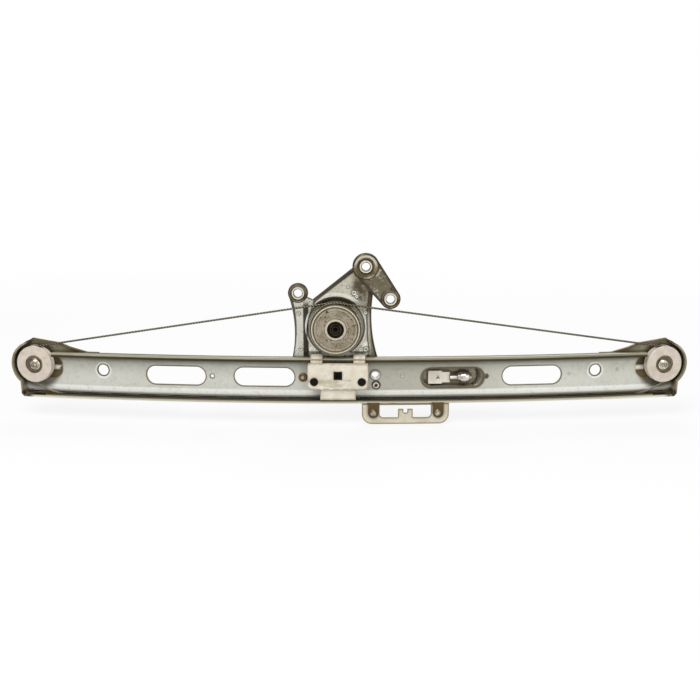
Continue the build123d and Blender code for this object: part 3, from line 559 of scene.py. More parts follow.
# Centre x and z of each eyelet on the front, and its outer radius
eyelets = {
    "upper": (23.9, 48.6, 10.2),
    "left": (-29.8, 27.0, 7.6),
    "arm": (43.4, 22.8, 7.6),
}
armLook = {
    "pale": (108, 100, 78),
    "dull": (56, 48, 32),
    "wearAndHighlight": (186, 186, 172),
    "stain": (44, 38, 28),
    "edge": (48, 38, 24),
    "shadeAndGrime": (46, 38, 26),
    # distance from the arm's middle line where the dark edge starts, and how much it narrows
    "edgeFrom": (8.2, 9.3),
    "taper": 0.08,
}


def armFinish():
    made = Finish("armZinc")
    broad, spangle, fine = zincBase(made, armLook["pale"], armLook["dull"], 1.0)
    made.lay(made.noise(4, 4, 0.7, shift=0.4).rise(0.56, 0.66) * 0.55, armLook["wearAndHighlight"])
    made.lay(made.noise(4, 4, 0.7, shift=0.8).rise(0.56, 0.66) * 0.8, armLook["stain"])
    startX, startZ = eyelets["upper"][:2]
    endX, endZ = eyelets["arm"][:2]
    length = math.hypot(endX - startX, endZ - startZ)
    stepX = (endX - startX) / length
    stepZ = (endZ - startZ) / length
    along = (made.x - startX) * stepX + (made.z - startZ) * stepZ
    across = ((made.z - startZ) * stepX - (made.x - startX) * stepZ).size()
    made.lay((across + along * armLook["taper"]).rise(*armLook["edgeFrom"]) * 0.85, armLook["edge"])
    # dirt and painted shade in the corners
    made.lay(made.crevice(2.5).rise(0.2, 0.8) * 0.9, armLook["shadeAndGrime"])
    made.surface(0.32 + broad * 0.2, 0.45)
    made.bump(spangle + fine * 0.5 + broad, 0.25, 0.15)
    return made


eyeletLook = {
    "pale": (120, 108, 78),
    "dull": (74, 62, 40),
    "wearAndHighlight": (206, 202, 186),
    "line": (48, 39, 25),
    "bead": (214, 208, 190),
    "bore": (64, 54, 36),
    "rim": (54, 44, 28),
    "shadeAndGrime": (64, 54, 38),
    "lineRadii": (5.1, 6.3),
    "beadRadius": (5.2, 4.8),
    "boreRadius": (4.0, 3.6),
}


def eyeletFinish(name, place):
    # bright bead about the bore, dark line round it, brown dome with a painted highlight along its upper
    # edge
    x, z, outer = eyelets[place]
    made = Finish(name)
    radius = made.ringFrom(x, z)
    broad = made.noise(5, 4, 0.65)
    fine = made.noise(0.6, 3, 0.6)
    made.lay(broad.rise(0.36, 0.62), eyeletLook["dull"], eyeletLook["pale"])
    # painted highlight along the upper edge of the dome
    wearAndHighlight = radius.band(outer - 2.6, outer - 1.3, 0.5) * (made.z - z).rise(-2, 4)
    made.lay(wearAndHighlight * 0.75, eyeletLook["wearAndHighlight"])
    made.lay(radius.band(*eyeletLook["lineRadii"], 0.3) * 0.85, eyeletLook["line"])
    made.lay(radius.rise(*eyeletLook["beadRadius"]), eyeletLook["bead"])
    made.lay(radius.rise(*eyeletLook["boreRadius"]) * 0.8, eyeletLook["bore"])
    made.lay(radius.rise(outer - 1.2, outer - 0.4) * 0.85, eyeletLook["rim"])
    # dirt and painted shade in the corners
    made.lay(made.crevice(1.5).rise(0.3, 0.9) * 0.7, eyeletLook["shadeAndGrime"])
    made.surface(0.22 + fine * 0.12 + broad * 0.1, 0.55)
    made.bump(fine + broad, 0.2, 0.1)
    return made


def steelFinish(name, pale, dull, size=2.5, rough=0.25, metal=0.8, shadeAndGrime=(70, 60, 44), reach=2.0):
    # bright or oiled steel, with fine grain, and dirt and painted shade in the corners
    made = Finish(name)
    broad = made.noise(size * 3, 3, 0.6)
    fine = made.noise(size * 0.3, 3, 0.6)
    made.lay(broad.rise(0.35, 0.65), dull, pale)
    made.lay((made.crevice(reach) * 1.2).atMost(0.85), shadeAndGrime)
    made.surface(rough + fine * 0.12 + broad * 0.08, metal)
    made.bump(fine + broad * 0.6, 0.2, 0.08)
    return made


plasticLook = {
    "specks": (104, 94, 78),
    "stain": (112, 98, 76),
    "scuffed": 0.86,
    "dust": (84, 76, 64),
    "wearAndHighlight": 1.8,
}


def plasticFinish(name, pale, dull, stain=plasticLook["stain"], size=9, rough=0.45, spots=0.3, reach=1.8):
    # moulded plastic with slow colour drift, fine graining, scuffs, dark specks, and dirt and painted
    # shade in the corners
    made = Finish(name)
    broad = made.noise(size, 4, 0.6)
    grain = made.noise(0.5, 2, 0.5)
    scuff = made.noise(5, 3, 0.7, (0.25, 1, 1.3), 0.5).rise(0.6, 0.68)
    made.lay(broad.rise(0.35, 0.65), dull, pale)
    made.lay(scuff * 0.3, [part * plasticLook["scuffed"] for part in pale])
    made.lay(made.noise(1.1, 2, 0.7, shift=0.9).rise(0.7, 0.75) * spots, plasticLook["specks"])
    # dirt and painted shade in the corners
    made.lay((made.crevice(reach) * 1.1).atMost(0.7), stain)
    made.surface(rough + broad * 0.12 + scuff * 0.12)
    made.bump(grain + broad * 0.5, 0.15, 0.06)
    return made


carriageLook = {
    "pale": (206, 199, 184),
    "dull": (192, 183, 165),
    "smear": (150, 146, 120),
    "foot": (120, 110, 88),
    "edge": (146, 132, 104),
    # smear across the middle, and dark line at the foot
    "smearX": (-13.2, 11.6),
    "smearZ": (-45.6, -40.6),
    "footZ": (-57.2, -55.9),
}


def carriageFinish():
    made = plasticFinish("carriageCream", carriageLook["pale"], carriageLook["dull"])
    band = made.x.band(*carriageLook["smearX"], 1.5) * made.z.band(*carriageLook["smearZ"], 1.4)
    smear = band * made.noise(5, 4, 0.65, (0.5, 1, 1), 0.1).rise(0.36, 0.6)
    made.lay(smear * 0.75, carriageLook["smear"])
    made.lay(made.z.band(*carriageLook["footZ"], 0.4) * 0.45, carriageLook["foot"])
    # painted shade in broken brown lines along the edges
    made.lay(made.border(1.3) * made.noise(6, 3, 0.6).rise(0.36, 0.56) * 0.7, carriageLook["edge"])
    return made


drumLook = {
    "pale": (150, 140, 121),
    "dull": (120, 110, 90),
    "turning": (120, 112, 96),
    "rim": (104, 94, 70),
    "chips": (30, 26, 20),
    "grain": (90, 80, 60),
    "shadeAndGrime": (48, 40, 28),
    "side": (84, 74, 52),
    # rings on the face: inner and outer radius, softness, amount, tone; the thin bright one is a painted
    # highlight line
    "rings": [
        (17.9, 19.7, 0.25, 0.8, (136, 128, 104)),
        (18.5, 18.9, 0.2, 0.8, (204, 199, 182)),
        (17.2, 17.7, 0.2, 0.85, (58, 48, 30)),
        (15.8, 16.8, 0.3, 0.5, (180, 172, 152)),
        (15.0, 15.5, 0.2, 0.5, (106, 97, 80)),
        (9.6, 10.2, 0.3, 0.5, (176, 168, 148)),
        (6.9, 8.3, 0.3, 0.8, (188, 180, 160)),
    ],
    "rimRadius": (19.0, 19.3),
    "chipRadii": (9.0, 16.6),
    "waveRate": 9.0,  # radians per millimetre of radius
    # y where the side ends and the face starts
    "faceY": (-15.6, -16.4),
}


def drumFinish():
    # grey-cream die-cast face with turning lines, dark specks and a painted highlight line on the rim
    made = Finish("drumCast")
    radius = made.ringFrom(*drumAxis)
    sideY, faceY = drumLook["faceY"]
    front = made.y.rise(sideY, faceY)
    broad = made.noise(7, 4, 0.62)
    fine = made.noise(0.7, 3, 0.6)
    turning = (radius * drumLook["waveRate"]).sine() * 0.5 + 0.5
    made.lay(broad.rise(0.35, 0.65), drumLook["dull"], drumLook["pale"])
    made.lay(turning * 0.12, drumLook["turning"])
    for inner, outer, soft, amount, tone in drumLook["rings"]:
        made.lay(radius.band(inner, outer, soft) * front * amount, tone)
    made.lay(radius.rise(*drumLook["rimRadius"]) * 0.8, drumLook["rim"])
    chips = made.noise(1.7, 2, 0.6, shift=0.4).rise(0.6, 0.64) * radius.band(*drumLook["chipRadii"], 0.5)
    made.lay(chips * 0.95, drumLook["chips"])
    made.lay(made.noise(1.2, 3, 0.75, shift=0.6).rise(0.54, 0.66) * 0.55, drumLook["grain"])
    # dirt and painted shade in the corners
    made.lay(made.crevice(2.0).rise(0.3, 0.9) * front * 0.85, drumLook["shadeAndGrime"])
    made.lay(made.y.rise(faceY, sideY) * 0.5, drumLook["side"])
    made.surface(0.36 + broad * 0.2, 0.2, 0.3)
    made.bump(turning * 0.25 + fine + broad, 0.2, 0.1)
    return made


hubLook = {
    "pale": (20, 17, 10),
    "dull": (7, 6, 3),
    "outerRing": (86, 78, 58),
    "innerRing": (64, 56, 40),
    "bore": (2, 2, 1),
    "outerRadii": (3.9, 4.5),
    "innerRadii": (2.1, 2.5),
    "boreRadius": (1.6, 1.0),
}


def hubFinish():
    # black moulded hub with faint rings of painted highlight, and painted shade in the bore
    made = Finish("hubBlack")
    radius = made.ringFrom(*drumAxis)
    broad = made.noise(2, 3, 0.6)
    made.lay(broad.rise(0.35, 0.65), hubLook["pale"], hubLook["dull"])
    outer = radius.band(*hubLook["outerRadii"], 0.3) * broad.rise(0.3, 0.6)
    made.lay(outer * 0.8, hubLook["outerRing"])
    made.lay(radius.band(*hubLook["innerRadii"], 0.3) * 0.6, hubLook["innerRing"])
    made.lay(radius.rise(*hubLook["boreRadius"]), hubLook["bore"])
    made.surface(0.45 + broad * 0.2, 0.0, 0.06)
    made.bump(broad, 0.2, 0.08)
    return made


axleLook = {
    "pale": (226, 222, 210),
    "dull": (160, 150, 128),
    "edge": (66, 54, 36),
    "ring": (96, 84, 62),
    "dimple": (74, 62, 42),
    "edgeRadius": (3.6, 4.1),
    "ringRadii": (2.5, 2.9),
    "dimpleRadii": (1.1, 1.7),
}


def axleFinish(name, side):
    # riveted axle head: silver, with a brown ring at its edge and a dimple in the middle
    made = Finish(name)
    radius = made.ringFrom(rail["bowX"] + side * railLook["pulleyX"], rail["pulleyZ"])
    broad = made.noise(3, 3, 0.6)
    made.lay(broad.rise(0.36, 0.62), axleLook["dull"], axleLook["pale"])
    made.lay(radius.rise(*axleLook["edgeRadius"]) * 0.85, axleLook["edge"])
    made.lay(radius.band(*axleLook["ringRadii"], 0.25) * 0.6, axleLook["ring"])
    made.lay(radius.band(*axleLook["dimpleRadii"], 0.25) * 0.75, axleLook["dimple"])
    made.surface(0.24 + broad * 0.2, 0.7)
    made.bump(broad, 0.25, 0.12)
    return made


rivetLook = {
    "leftMiddle": (206, 200, 180),
    "leftEdge": (104, 84, 52),
    "rightMiddle": (62, 50, 34),
    "rightRing": (200, 196, 182),
    "stain": (92, 78, 54),
    "bracketPale": (196, 191, 176),
    "bracketDull": (122, 112, 90),
    "bracketHeadRim": (64, 50, 26),
    "leftRadius": (0.9, 1.4),
    "rightRadii": (1.5, 2.5),
    "headRimRadius": (1.9, 2.5),
}


def plateRivetFinish():
    # worn rivets: the left one brown with a bright middle, the right one bright with a dark middle
    made = Finish("plateRivetSteel")
    broad = made.noise(2, 3, 0.65)
    left = made.ringFrom(*rivets["left"])
    right = made.ringFrom(*rivets["right"])
    edge = left.rise(*rivetLook["leftRadius"])
    ring = right.band(*rivetLook["rightRadii"], 0.3)
    brown = made.mix(edge, rivetLook["leftMiddle"], rivetLook["leftEdge"])
    silver = made.mix(ring, rivetLook["rightMiddle"], rivetLook["rightRing"])
    made.lay(made.x.rise(0, -4), brown, silver)
    made.lay(broad.rise(0.45, 0.65) * 0.4, rivetLook["stain"])
    made.surface(0.3 + broad * 0.2, 0.5)
    made.bump(broad, 0.25, 0.1)
    return made


def bracketRivetFinish():
    # small silver heads, brown towards the edge of each
    made = Finish("bracketRivetSteel")
    broad = made.noise(2, 3, 0.65)
    made.lay(broad.rise(0.35, 0.6), rivetLook["bracketDull"], rivetLook["bracketPale"])
    first, second = (made.ringFrom(*place) for place in rivets["bracket"])
    headRim = first.atMost(second).rise(*rivetLook["headRimRadius"])
    made.lay(headRim * 0.9, rivetLook["bracketHeadRim"])
    made.surface(0.26 + broad * 0.2, 0.6)
    made.bump(broad, 0.25, 0.1)
    return made


pulleyLook = {
    "pale": (194, 184, 171),
    "dull": (182, 171, 157),
    "stain": (160, 146, 124),
}


def pulleyFinish():
    made = plasticFinish("pulleyCream", pulleyLook["pale"], pulleyLook["dull"], size=6, spots=0.15)
    made.lay(made.noise(11, 4, 0.6, shift=0.2).rise(0.5, 0.7) * 0.35, pulleyLook["stain"])
    return made


def blackFinish(name, tone, rough=0.4):
    # black moulded plastic with a little pale dust
    made = Finish(name)
    broad = made.noise(3, 3, 0.6)
    grain = made.noise(0.4, 2, 0.6)
    made.lay(broad.rise(0.35, 0.65), [part * plasticLook["wearAndHighlight"] for part in tone], tone)
    made.lay(made.noise(1.2, 3, 0.7, shift=0.3).rise(0.64, 0.72) * 0.25, plasticLook["dust"])
    made.surface(rough + broad * 0.2, 0.0, 0.12)
    made.bump(grain + broad, 0.2, 0.08)
    return made


cableLook = {
    "strand": (124, 117, 98),
    "between": (38, 32, 22),
    "drift": (76, 68, 52),
    "clean": (124, 118, 100),
    "wound": (150, 145, 126),
    "greaseAndShadow": (12, 10, 6),
    "slant": 0.9,
    "waveRate": 2.5,  # radians per millimetre
    # heights z and distances from the bow's middle of the clean runs and of the dark run in the channel
    "cleanZ": (-44, -47),
    "cleanFrom": (225, 232),
    "darkRunZ": (-45, -52),
    "darkRunTo": (240, 232),
    # radius and height of the turns on the drum
    "woundRadius": (23, 22.4),
    "woundZ": (17, 15),
}


def cableFinish():
    # steel wire rope: slanting strands, dark between them
    made = Finish("cableStrand")
    slanted = made.x + made.z * cableLook["slant"] + made.y * cableLook["slant"]
    strands = (slanted * cableLook["waveRate"]).sine() * 0.5 + 0.5
    broad = made.noise(9, 3, 0.6)
    made.lay(strands.rise(0.3, 0.7), cableLook["strand"], cableLook["between"])
    made.lay(broad.rise(0.45, 0.7) * 0.4, cableLook["drift"])
    # clean steel on the way down from the pulleys, pale on the drum, black in the channel from grease and
    # painted shade
    away = (made.x - rail["bowX"]).size()
    clean = made.z.rise(*cableLook["cleanZ"]) * away.rise(*cableLook["cleanFrom"])
    made.lay(clean * 0.8, cableLook["clean"])
    onDrum = made.ringFrom(*drumAxis).rise(*cableLook["woundRadius"])
    made.lay(onDrum * made.z.rise(*cableLook["woundZ"]) * 0.7, cableLook["wound"])
    greasedAndShaded = made.z.rise(*cableLook["darkRunZ"]) * away.rise(*cableLook["darkRunTo"])
    made.lay(greasedAndShaded * 0.9, cableLook["greaseAndShadow"])
    made.surface(0.36 + broad * 0.2, 0.55)
    made.bump(strands, 0.6, 0.2)
    return made


bracketLook = {
    "pale": (194, 188, 169),
    "dull": (182, 173, 152),
    "stain": (104, 90, 64),
    "edge": (112, 98, 70),
}


def bracketFinish():
    pale, dull, stain = (bracketLook[tone] for tone in ("pale", "dull", "stain"))
    made = plasticFinish("bracketBeige", pale, dull, stain, size=12, rough=0.5, spots=0.25)
    # painted shade along the edges
    made.lay(made.border(1.3) * 0.8, bracketLook["edge"])
    return made


pocketLook = {
    "pale": (184, 182, 166),
    "dull": (124, 116, 92),
    "deep": (96, 84, 58),
    "shadeAndGrime": (58, 46, 28),
    "deepH": (-3.0, -7.0),
}


def pocketFinish():
    # inside of the pressed pocket: silver on the treads, brown on the walls, painted shade in the depth
    # and dirt and painted shade in the corners
    made = Finish("pocketZinc")
    broad = made.noise(4, 4, 0.65)
    fine = made.noise(0.7, 3, 0.6)
    made.lay(broad.rise(0.3, 0.7) * 0.8, pocketLook["dull"], pocketLook["pale"])
    made.lay(made.height().rise(*pocketLook["deepH"]) * 0.5, pocketLook["deep"])
    made.lay(made.crevice(3.0).rise(0.25, 0.8) * 0.9, pocketLook["shadeAndGrime"])
    made.surface(0.26 + fine * 0.14, 0.55)
    made.bump(fine + broad, 0.25, 0.12)
    return made


# Plain steel, plastic and black pieces: what differs from one to the next
steels = {
    "clip": {"name": "clipSteel", "pale": (120, 116, 106), "dull": (86, 82, 72)},
    "pulleyBush": {
        "name": "pulleyBushSteel",
        "pale": (142, 118, 92),
        "dull": (92, 72, 50),
        "size": 2,
        "rough": 0.3,
        "metal": 0.3,
        "shadeAndGrime": (46, 34, 22),
    },
    "anchor": {"name": "anchorSteel", "pale": (150, 146, 136), "dull": (110, 104, 92)},
    "rivet": {
        "name": "rivetSteel",
        "pale": (186, 180, 164),
        "dull": (124, 116, 98),
        "size": 2,
        "rough": 0.24,
        "metal": 0.7,
        "shadeAndGrime": (58, 46, 28),
    },
    "plunger": {
        "name": "plungerSteel",
        "pale": (214, 210, 200),
        "dull": (160, 150, 128),
        "size": 2,
        "rough": 0.16,
        "metal": 0.9,
        "shadeAndGrime": (74, 62, 44),
        "reach": 4.0,
    },
    "collar": {
        "name": "collarZinc",
        "pale": (214, 214, 206),
        "dull": (180, 178, 166),
        "size": 2,
        "rough": 0.26,
        "metal": 0.6,
    },
    "webMark": {
        "name": "webMarkZinc",
        "pale": (206, 204, 192),
        "dull": (184, 181, 166),
        "size": 2,
        "rough": 0.3,
        "metal": 0.3,
        "shadeAndGrime": (150, 144, 124),
    },
}
plastics = {
    "bush": {"name": "bushPlastic", "pale": (186, 180, 166), "dull": (160, 152, 136)},
    "glide": {"name": "glidePlastic", "pale": (206, 200, 184), "dull": (186, 178, 160)},
    "block": {"name": "blockPlastic", "pale": (220, 214, 203), "dull": (204, 196, 182), "reach": 1.2},
}
blacks = {
    "plug": {"name": "plugBlack", "tone": (9, 7, 4)},
    "insert": {"name": "insertBlack", "tone": (10, 8, 4), "rough": 0.5},
}

finishes = {
    "rail": railFinish(),
    "plate": plateFinish(),
    "arm": armFinish(),
    "upperEyelet": eyeletFinish("upperEyeletSteel", "upper"),
    "leftEyelet": eyeletFinish("leftEyeletSteel", "left"),
    "armEyelet": eyeletFinish("armEyeletSteel", "arm"),
    "drum": drumFinish(),
    "hub": hubFinish(),
    "pulley": pulleyFinish(),
    "axleLeft": axleFinish("axleSteelLeft", -1),
    "axleRight": axleFinish("axleSteelRight", 1),
    "carriage": carriageFinish(),
    "bracket": bracketFinish(),
    "plateRivet": plateRivetFinish(),
    "bracketRivet": bracketRivetFinish(),
    "pocket": pocketFinish(),
    "cable": cableFinish(),
}
for looks, make in ((steels, steelFinish), (plastics, plasticFinish), (blacks, blackFinish)):
    for key, look in looks.items():
        finishes[key] = make(**look)
print("finishes made:", len(finishes))

finishOfNode = {
    "guide_rail": "rail",
    "drum_plate": "plate",
    "strap_arm": "arm",
    "upper_eyelet": "upperEyelet",
    "left_eyelet": "leftEyelet",
    "arm_eyelet": "armEyelet",
    "drum_bush": "bush",
    "cable_drum": "drum",
    "drum_hub": "hub",
    "drum_clip": "clip",
    "pulley_left": "pulley",
    "pulley_right": "pulley",
    "pulley_bush_left": "pulleyBush",
    "pulley_bush_right": "pulleyBush",
    "pulley_axle_left": "axleLeft",
    "pulley_axle_right": "axleRight",
    "pulley_washer_left": "rivet",
    "pulley_washer_right": "rivet",
    "carriage_body": "carriage",
    "carriage_glide": "glide",
    "carriage_plugs": "plug",
    "square_insert": "insert",
    "cable_anchors": "anchor",
    "harness_bracket": "bracket",
    "bracket_rivets": "bracketRivet",
    "pocket_cup": "pocket",
    "pocket_block": "block",
    "pocket_plunger": "plunger",
    "plate_rivets": "plateRivet",
    "collar_stud": "collar",
    "cable_left": "cable",
    "cable_right": "cable",
}
for node, finish in finishOfNode.items():
    mesh = nodes[node].data
    mesh.materials.clear()
    mesh.materials.append(finishes[finish].material)
print("solids finished:", len(finishOfNode))


# Small pieces that the solids leave out. Each is one closed mesh, seated on what carries it
def addPiece(name, corners, faces, finish):
    mesh = bpy.data.meshes.new(name)
    mesh.from_pydata([tuple(corner) for corner in corners], [], faces)
    mesh.polygons.foreach_set("use_smooth", [True] * len(mesh.polygons))
    mesh.update()
    mesh.materials.append(finishes[finish].material)
    piece = bpy.data.objects.new(name, mesh)
    bpy.context.scene.collection.objects.link(piece)
    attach(piece, "root")


def addPrism(name, first, second, finish):
    # closed piece between two outlines with the same number of corners
    count = len(first)
    faces = [tuple(reversed(range(count))), tuple(range(count, 2 * count))]
    for j in range(count):
        after = (j + 1) % count
        faces.append((j, after, count + after, count + j))
    addPiece(name, first + second, faces, finish)


# Punch marks: a low ring with a dimple, or a small pip, pressed in plate and web
punchMarks = {
    "sides": 28,
    "plateFront": -3.15,
    "padFront": -5.15,
    "sunk": 0.15,
    # shares of the mark's radii and height that shape it
    "dimpleFloor": 0.3,
    "dimpleRise": 0.12,
    "dimpleEdge": 0.55,
    "shoulder": 0.94,
    "shoulderRise": 0.45,
    # x, z, outer radius, dimple radius, height
    "onPad": [
        (14.5, 27.3, 2.1, 1.2, 0.45),
        (16.7, 24.7, 1.5, 0.8, 0.35),
        (10.0, 32.3, 1.3, 0.5, 0.4),
        (23.6, 11.4, 1.5, 0.7, 0.35),
        (24.0, -18.1, 2.3, 0.9, 0.9),
    ],
    "onColumn": [
        (-29.4, 10.7, 1.6, 0.7, 0.35),
        (-27.9, -18.3, 1.7, 1.0, 0.35),
    ],
    # arc, z, outer radius, dimple radius, height
    "onWeb": [
        (42.7, -39.9, 1.5, 0.9, 0.3),
        (179.1, -40.6, 1.1, 0.5, 0.25),
        (219.5, -38.2, 1.0, 0.4, 0.25),
    ],
}


def placeOnPlate(x, z, y):
    # x along the plate, y up it and z out of its front
    turn = Matrix(((1, 0, 0), (0, 0, -1), (0, 1, 0))).to_4x4()
    return Matrix.Translation(Vector((x, y, z)) * mm) @ turn


def markProfile(outer, inner, height):
    # closed outline of (radius, height) points, from the dimple's floor round under the mark
    sunk = -punchMarks["sunk"]
    floor = inner * punchMarks["dimpleFloor"]
    return [
        (floor, sunk),
        (outer, sunk),
        (outer * punchMarks["shoulder"], height * punchMarks["shoulderRise"]),
        ((outer + inner) / 2, height),
        (inner, height * punchMarks["dimpleEdge"]),
        (floor, height * punchMarks["dimpleRise"]),
    ]


def makeMark(name, place, profile, finish):
    # the profile turned about the place's z
    sides = punchMarks["sides"]
    count = len(profile)
    corners = []
    faces = []
    for k in range(sides):
        turn = 2 * math.pi * k / sides
        after = (k + 1) % sides
        for j, (radius, height) in enumerate(profile):
            point = Vector((radius * math.cos(turn), radius * math.sin(turn), height))
            corners.append(place @ (point * mm))
            under = (j + 1) % count
            faces.append((k * count + j, after * count + j, after * count + under, k * count + under))
    addPiece(name, corners, faces, finish)


def makePunchMarks():
    number = 0
    for marks, front in (("onPad", "padFront"), ("onColumn", "plateFront")):
        for x, z, *sizes in punchMarks[marks]:
            place = placeOnPlate(x, z, punchMarks[front])
            makeMark(f"plateMark{number}", place, markProfile(*sizes), "collar")
            number += 1
    for number, (arc, z, *sizes) in enumerate(punchMarks["onWeb"]):
        place = placeOnRail(arc, z, rail["sheet"])
        makeMark(f"webMark{number}", place, markProfile(*sizes), "webMark")


# Bar that closes the bracket's window along the rail
bracketBar = {
    "arcs": (21.5, 66.5),
    "top": -61.15,
    "height": 1.2,
    "h": (7.1, 8.4),
    "steps": 12,
}


def makeBracketBar():
    near, far = bracketBar["h"]
    top = bracketBar["top"]
    foot = top - bracketBar["height"]
    section = ((foot, near), (foot, far), (top, far), (top, near))
    start, end = bracketBar["arcs"]
    steps = bracketBar["steps"]
    count = len(section)
    corners = []
    for k in range(steps + 1):
        arc = start + (end - start) * k / steps
        for z, h in section:
            corners.append(placeOnRail(arc, z, h).translation)
    last = count * steps
    faces = [tuple(range(count)), tuple(last + j for j in reversed(range(count)))]
    for k in range(0, last, count):
        for j in range(count):
            after = (j + 1) % count
            faces.append((k + j, k + count + j, k + count + after, k + after))
    addPiece("bracketBar", corners, faces, "bracket")


# Web of the plate between its slope and the upper eyelet
neckWeb = {
    "y": (-3.12, -1.6),
    "outline": [(9.2, 43.75), (14.2, 47.75), (16.2, 44.0), (12.6, 40.6)],
}


def makeNeckWeb():
    front, rear = ([Vector((x, y, z)) * mm for x, z in neckWeb["outline"]] for y in neckWeb["y"])
    addPrism("neckWeb", front, rear, "plate")


# Pressed steps at both ends of the pocket behind the third slot
pocketSteps = {
    "arc": 83.3,
    "z": -41.9,
    "capCentre": 17.6,
    "capRadius": 7.35,
    "thickness": 0.35,
    "sides": 20,
    # how far the steps' underside stands back, least gap to the wall, lowest place above the floor
    "setback": 0.1,
    "wallGap": 0.02,
    "floor": -8.0,
    # share of the inset that a step keeps where it meets the pocket's long sides
    "flankShare": 0.3,
    # inset from the pocket's wall and height above the rear of the web
    "right": [
        (0.1, -1.6), (0.5, -3.0), (1.5, -3.3), (1.9, -4.9),
        (2.9, -5.2), (3.3, -6.9), (4.2, -7.2), (4.4, -7.9),
    ],
    "left": [(0.1, -1.6), (0.4, -3.4), (1.3, -3.8), (1.9, -7.9)],
}


def makePocketSteps(name, side, steps):
    base = placeOnRail(pocketSteps["arc"], pocketSteps["z"])
    cap = pocketSteps["capRadius"]
    sides = pocketSteps["sides"]
    outline = list(steps)
    for inset, height in reversed(steps):
        outline.append((inset - pocketSteps["setback"], height - pocketSteps["thickness"]))
    gap = pocketSteps["wallGap"]
    outline = [(max(inset, gap), max(height, pocketSteps["floor"])) for inset, height in outline]
    corners = []
    for k in range(sides + 1):
        turn = math.pi * (k / sides - 0.5)
        for inset, height in outline:
            u = pocketSteps["capCentre"] + (cap - inset) * math.cos(turn)
            v = (cap - inset * pocketSteps["flankShare"]) * math.sin(turn)
            corners.append(base @ (Vector((side * u, v, height)) * mm))
    count = len(outline)
    faces = [tuple(range(count)), tuple(sides * count + j for j in reversed(range(count)))]
    for k in range(0, sides * count, count):
        for j in range(count):
            under = (j + 1) % count
            faces.append((k + j, k + under, k + count + under, k + count + j))
    addPiece(name, corners, faces, "pocket")


# Small raised arrow moulded on the block in the pocket
blockArrow = {
    "along": -11.5,
    "z": -42.3,
    "seat": -2.4,
    "sunk": 0.1,
    "rise": 0.3,
    "taper": 0.9,
    "outline": [(-1.6, -1.5), (0.2, 1.9), (1.5, -1.5), (0.1, -0.5)],
}


def makeBlockArrow():
    base = placeOnRail(pocketSteps["arc"], blockArrow["z"])

    def arrowAt(share, height):
        places = [(blockArrow["along"] + u * share, v * share, height) for u, v in blockArrow["outline"]]
        return [base @ (Vector(place) * mm) for place in places]

    foot = arrowAt(1.0, blockArrow["seat"] - blockArrow["sunk"])
    top = arrowAt(blockArrow["taper"], blockArrow["seat"] + blockArrow["rise"])
    addPrism("blockArrow", foot, top, "rivet")


makePunchMarks()
makeBracketBar()
makeNeckWeb()
makePocketSteps("pocketStepsRight", 1, pocketSteps["right"])
makePocketSteps("pocketStepsLeft", -1, pocketSteps["left"])
makeBlockArrow()
print("small pieces made")


# Floor, lamps and world
studio = {
    "floorDrop": 0.4,
    "floorSize": 6.0,  # metres
    "floorPale": (217.9, 217.9, 217.9),
    "floorDull": (207.9, 207.9, 207.9),
    "floorDrift": 60,
    "floorGlow": 0.8,
    "glowNear": 500.0,
    "glowFar": 1100.0,
    "white": (1, 1, 1, 1),
    "world": 0.62,
    "lamps": [
        # name, place and size in metres, watts
        ("keyLamp", (-0.35, -0.9, 1.15), 0.9, 17.0),
        ("fillLamp", (0.8, -1.3, 0.35), 1.2, 7.0),
        ("backLamp", (0.2, 1.2, 0.9), 1.0, 8.0),
    ],
}


def seenRays(made):
    path = made.node("LightPath").socket.node
    rays = [Wire(made, path.outputs[k]) for k in ("Is Camera Ray", "Is Glossy Ray", "Is Transmission Ray")]
    return rays[0].atLeast(rays[1]).atLeast(rays[2])


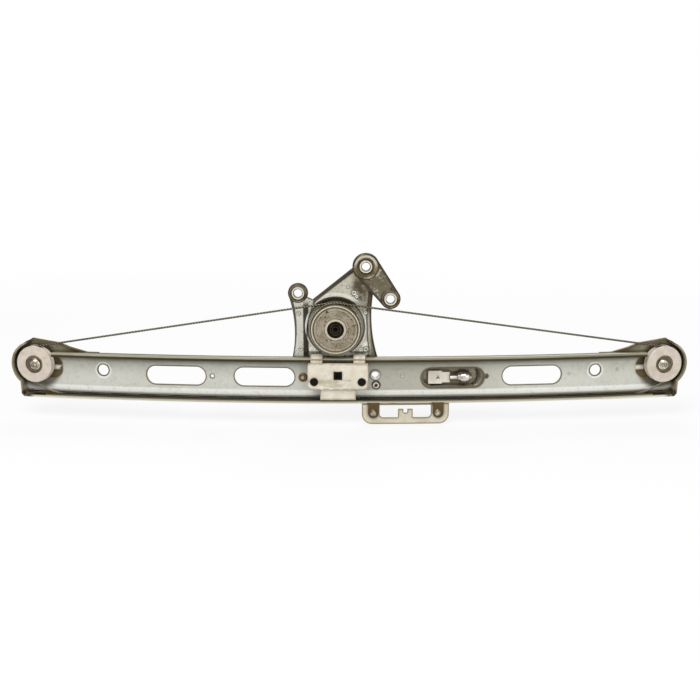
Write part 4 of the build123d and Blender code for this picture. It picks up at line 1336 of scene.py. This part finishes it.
def makeFloor():
    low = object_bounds()[0].z - studio["floorDrop"] * mm
    half = studio["floorSize"] / 2
    mesh = bpy.data.meshes.new("floor")
    corners = [(-half, -half, low), (half, -half, low), (half, half, low), (-half, half, low)]
    mesh.from_pydata(corners, [], [(0, 1, 2, 3)])
    floor = bpy.data.objects.new("floor", mesh)
    bpy.context.scene.collection.objects.link(floor)
    made = Finish("floorPale")
    made.lay(made.noise(studio["floorDrift"], 3) * 0.05, studio["floorDull"], studio["floorPale"])
    made.surface(0.9)
    # seen directly or in a reflection, the floor glows white far from the object
    glow = made.node("Emission", {}, {"Color": studio["white"], "Strength": 1.0})
    least = studio["floorGlow"]
    away = (made.x * made.x + made.y * made.y) ** 0.5
    glowing = away.rise(studio["glowNear"], studio["glowFar"]) * (1 - least) + least
    plain = Wire(made, made.shader.outputs[0])
    lit = made.node("MixShader", {}, {0: seenRays(made) * glowing, 1: plain, 2: glow})
    made.plug(made.tree.nodes["Material Output"].inputs["Surface"], lit)
    mesh.materials.append(made.material)


def makeWorld():
    world = bpy.data.worlds.new("paleWorld")
    bpy.context.scene.world = world
    world.use_nodes = True
    tree = world.node_tree
    background = tree.nodes["Background"]
    path = tree.nodes.new("ShaderNodeLightPath")
    seen = tree.nodes.new("ShaderNodeMapRange")
    seen.inputs["To Min"].default_value = studio["world"]
    seen.inputs["To Max"].default_value = 1.0
    tree.links.new(path.outputs["Is Camera Ray"], seen.inputs["Value"])
    tree.links.new(seen.outputs["Result"], background.inputs["Strength"])
    background.inputs["Color"].default_value = studio["white"]


def makeLamps():
    aim = Vector(camera["aim"]) * mm
    for name, place, size, watts in studio["lamps"]:
        data = bpy.data.lights.new(name, "AREA")
        data.size = size
        data.energy = watts
        lamp = bpy.data.objects.new(name, data)
        lamp.location = place
        lamp.rotation_euler = (aim - Vector(place)).to_track_quat("-Z", "Y").to_euler()
        bpy.context.scene.collection.objects.link(lamp)


makeFloor()
makeWorld()
makeLamps()
bpy.context.scene.view_settings.view_transform = "Standard"
print("studio made")
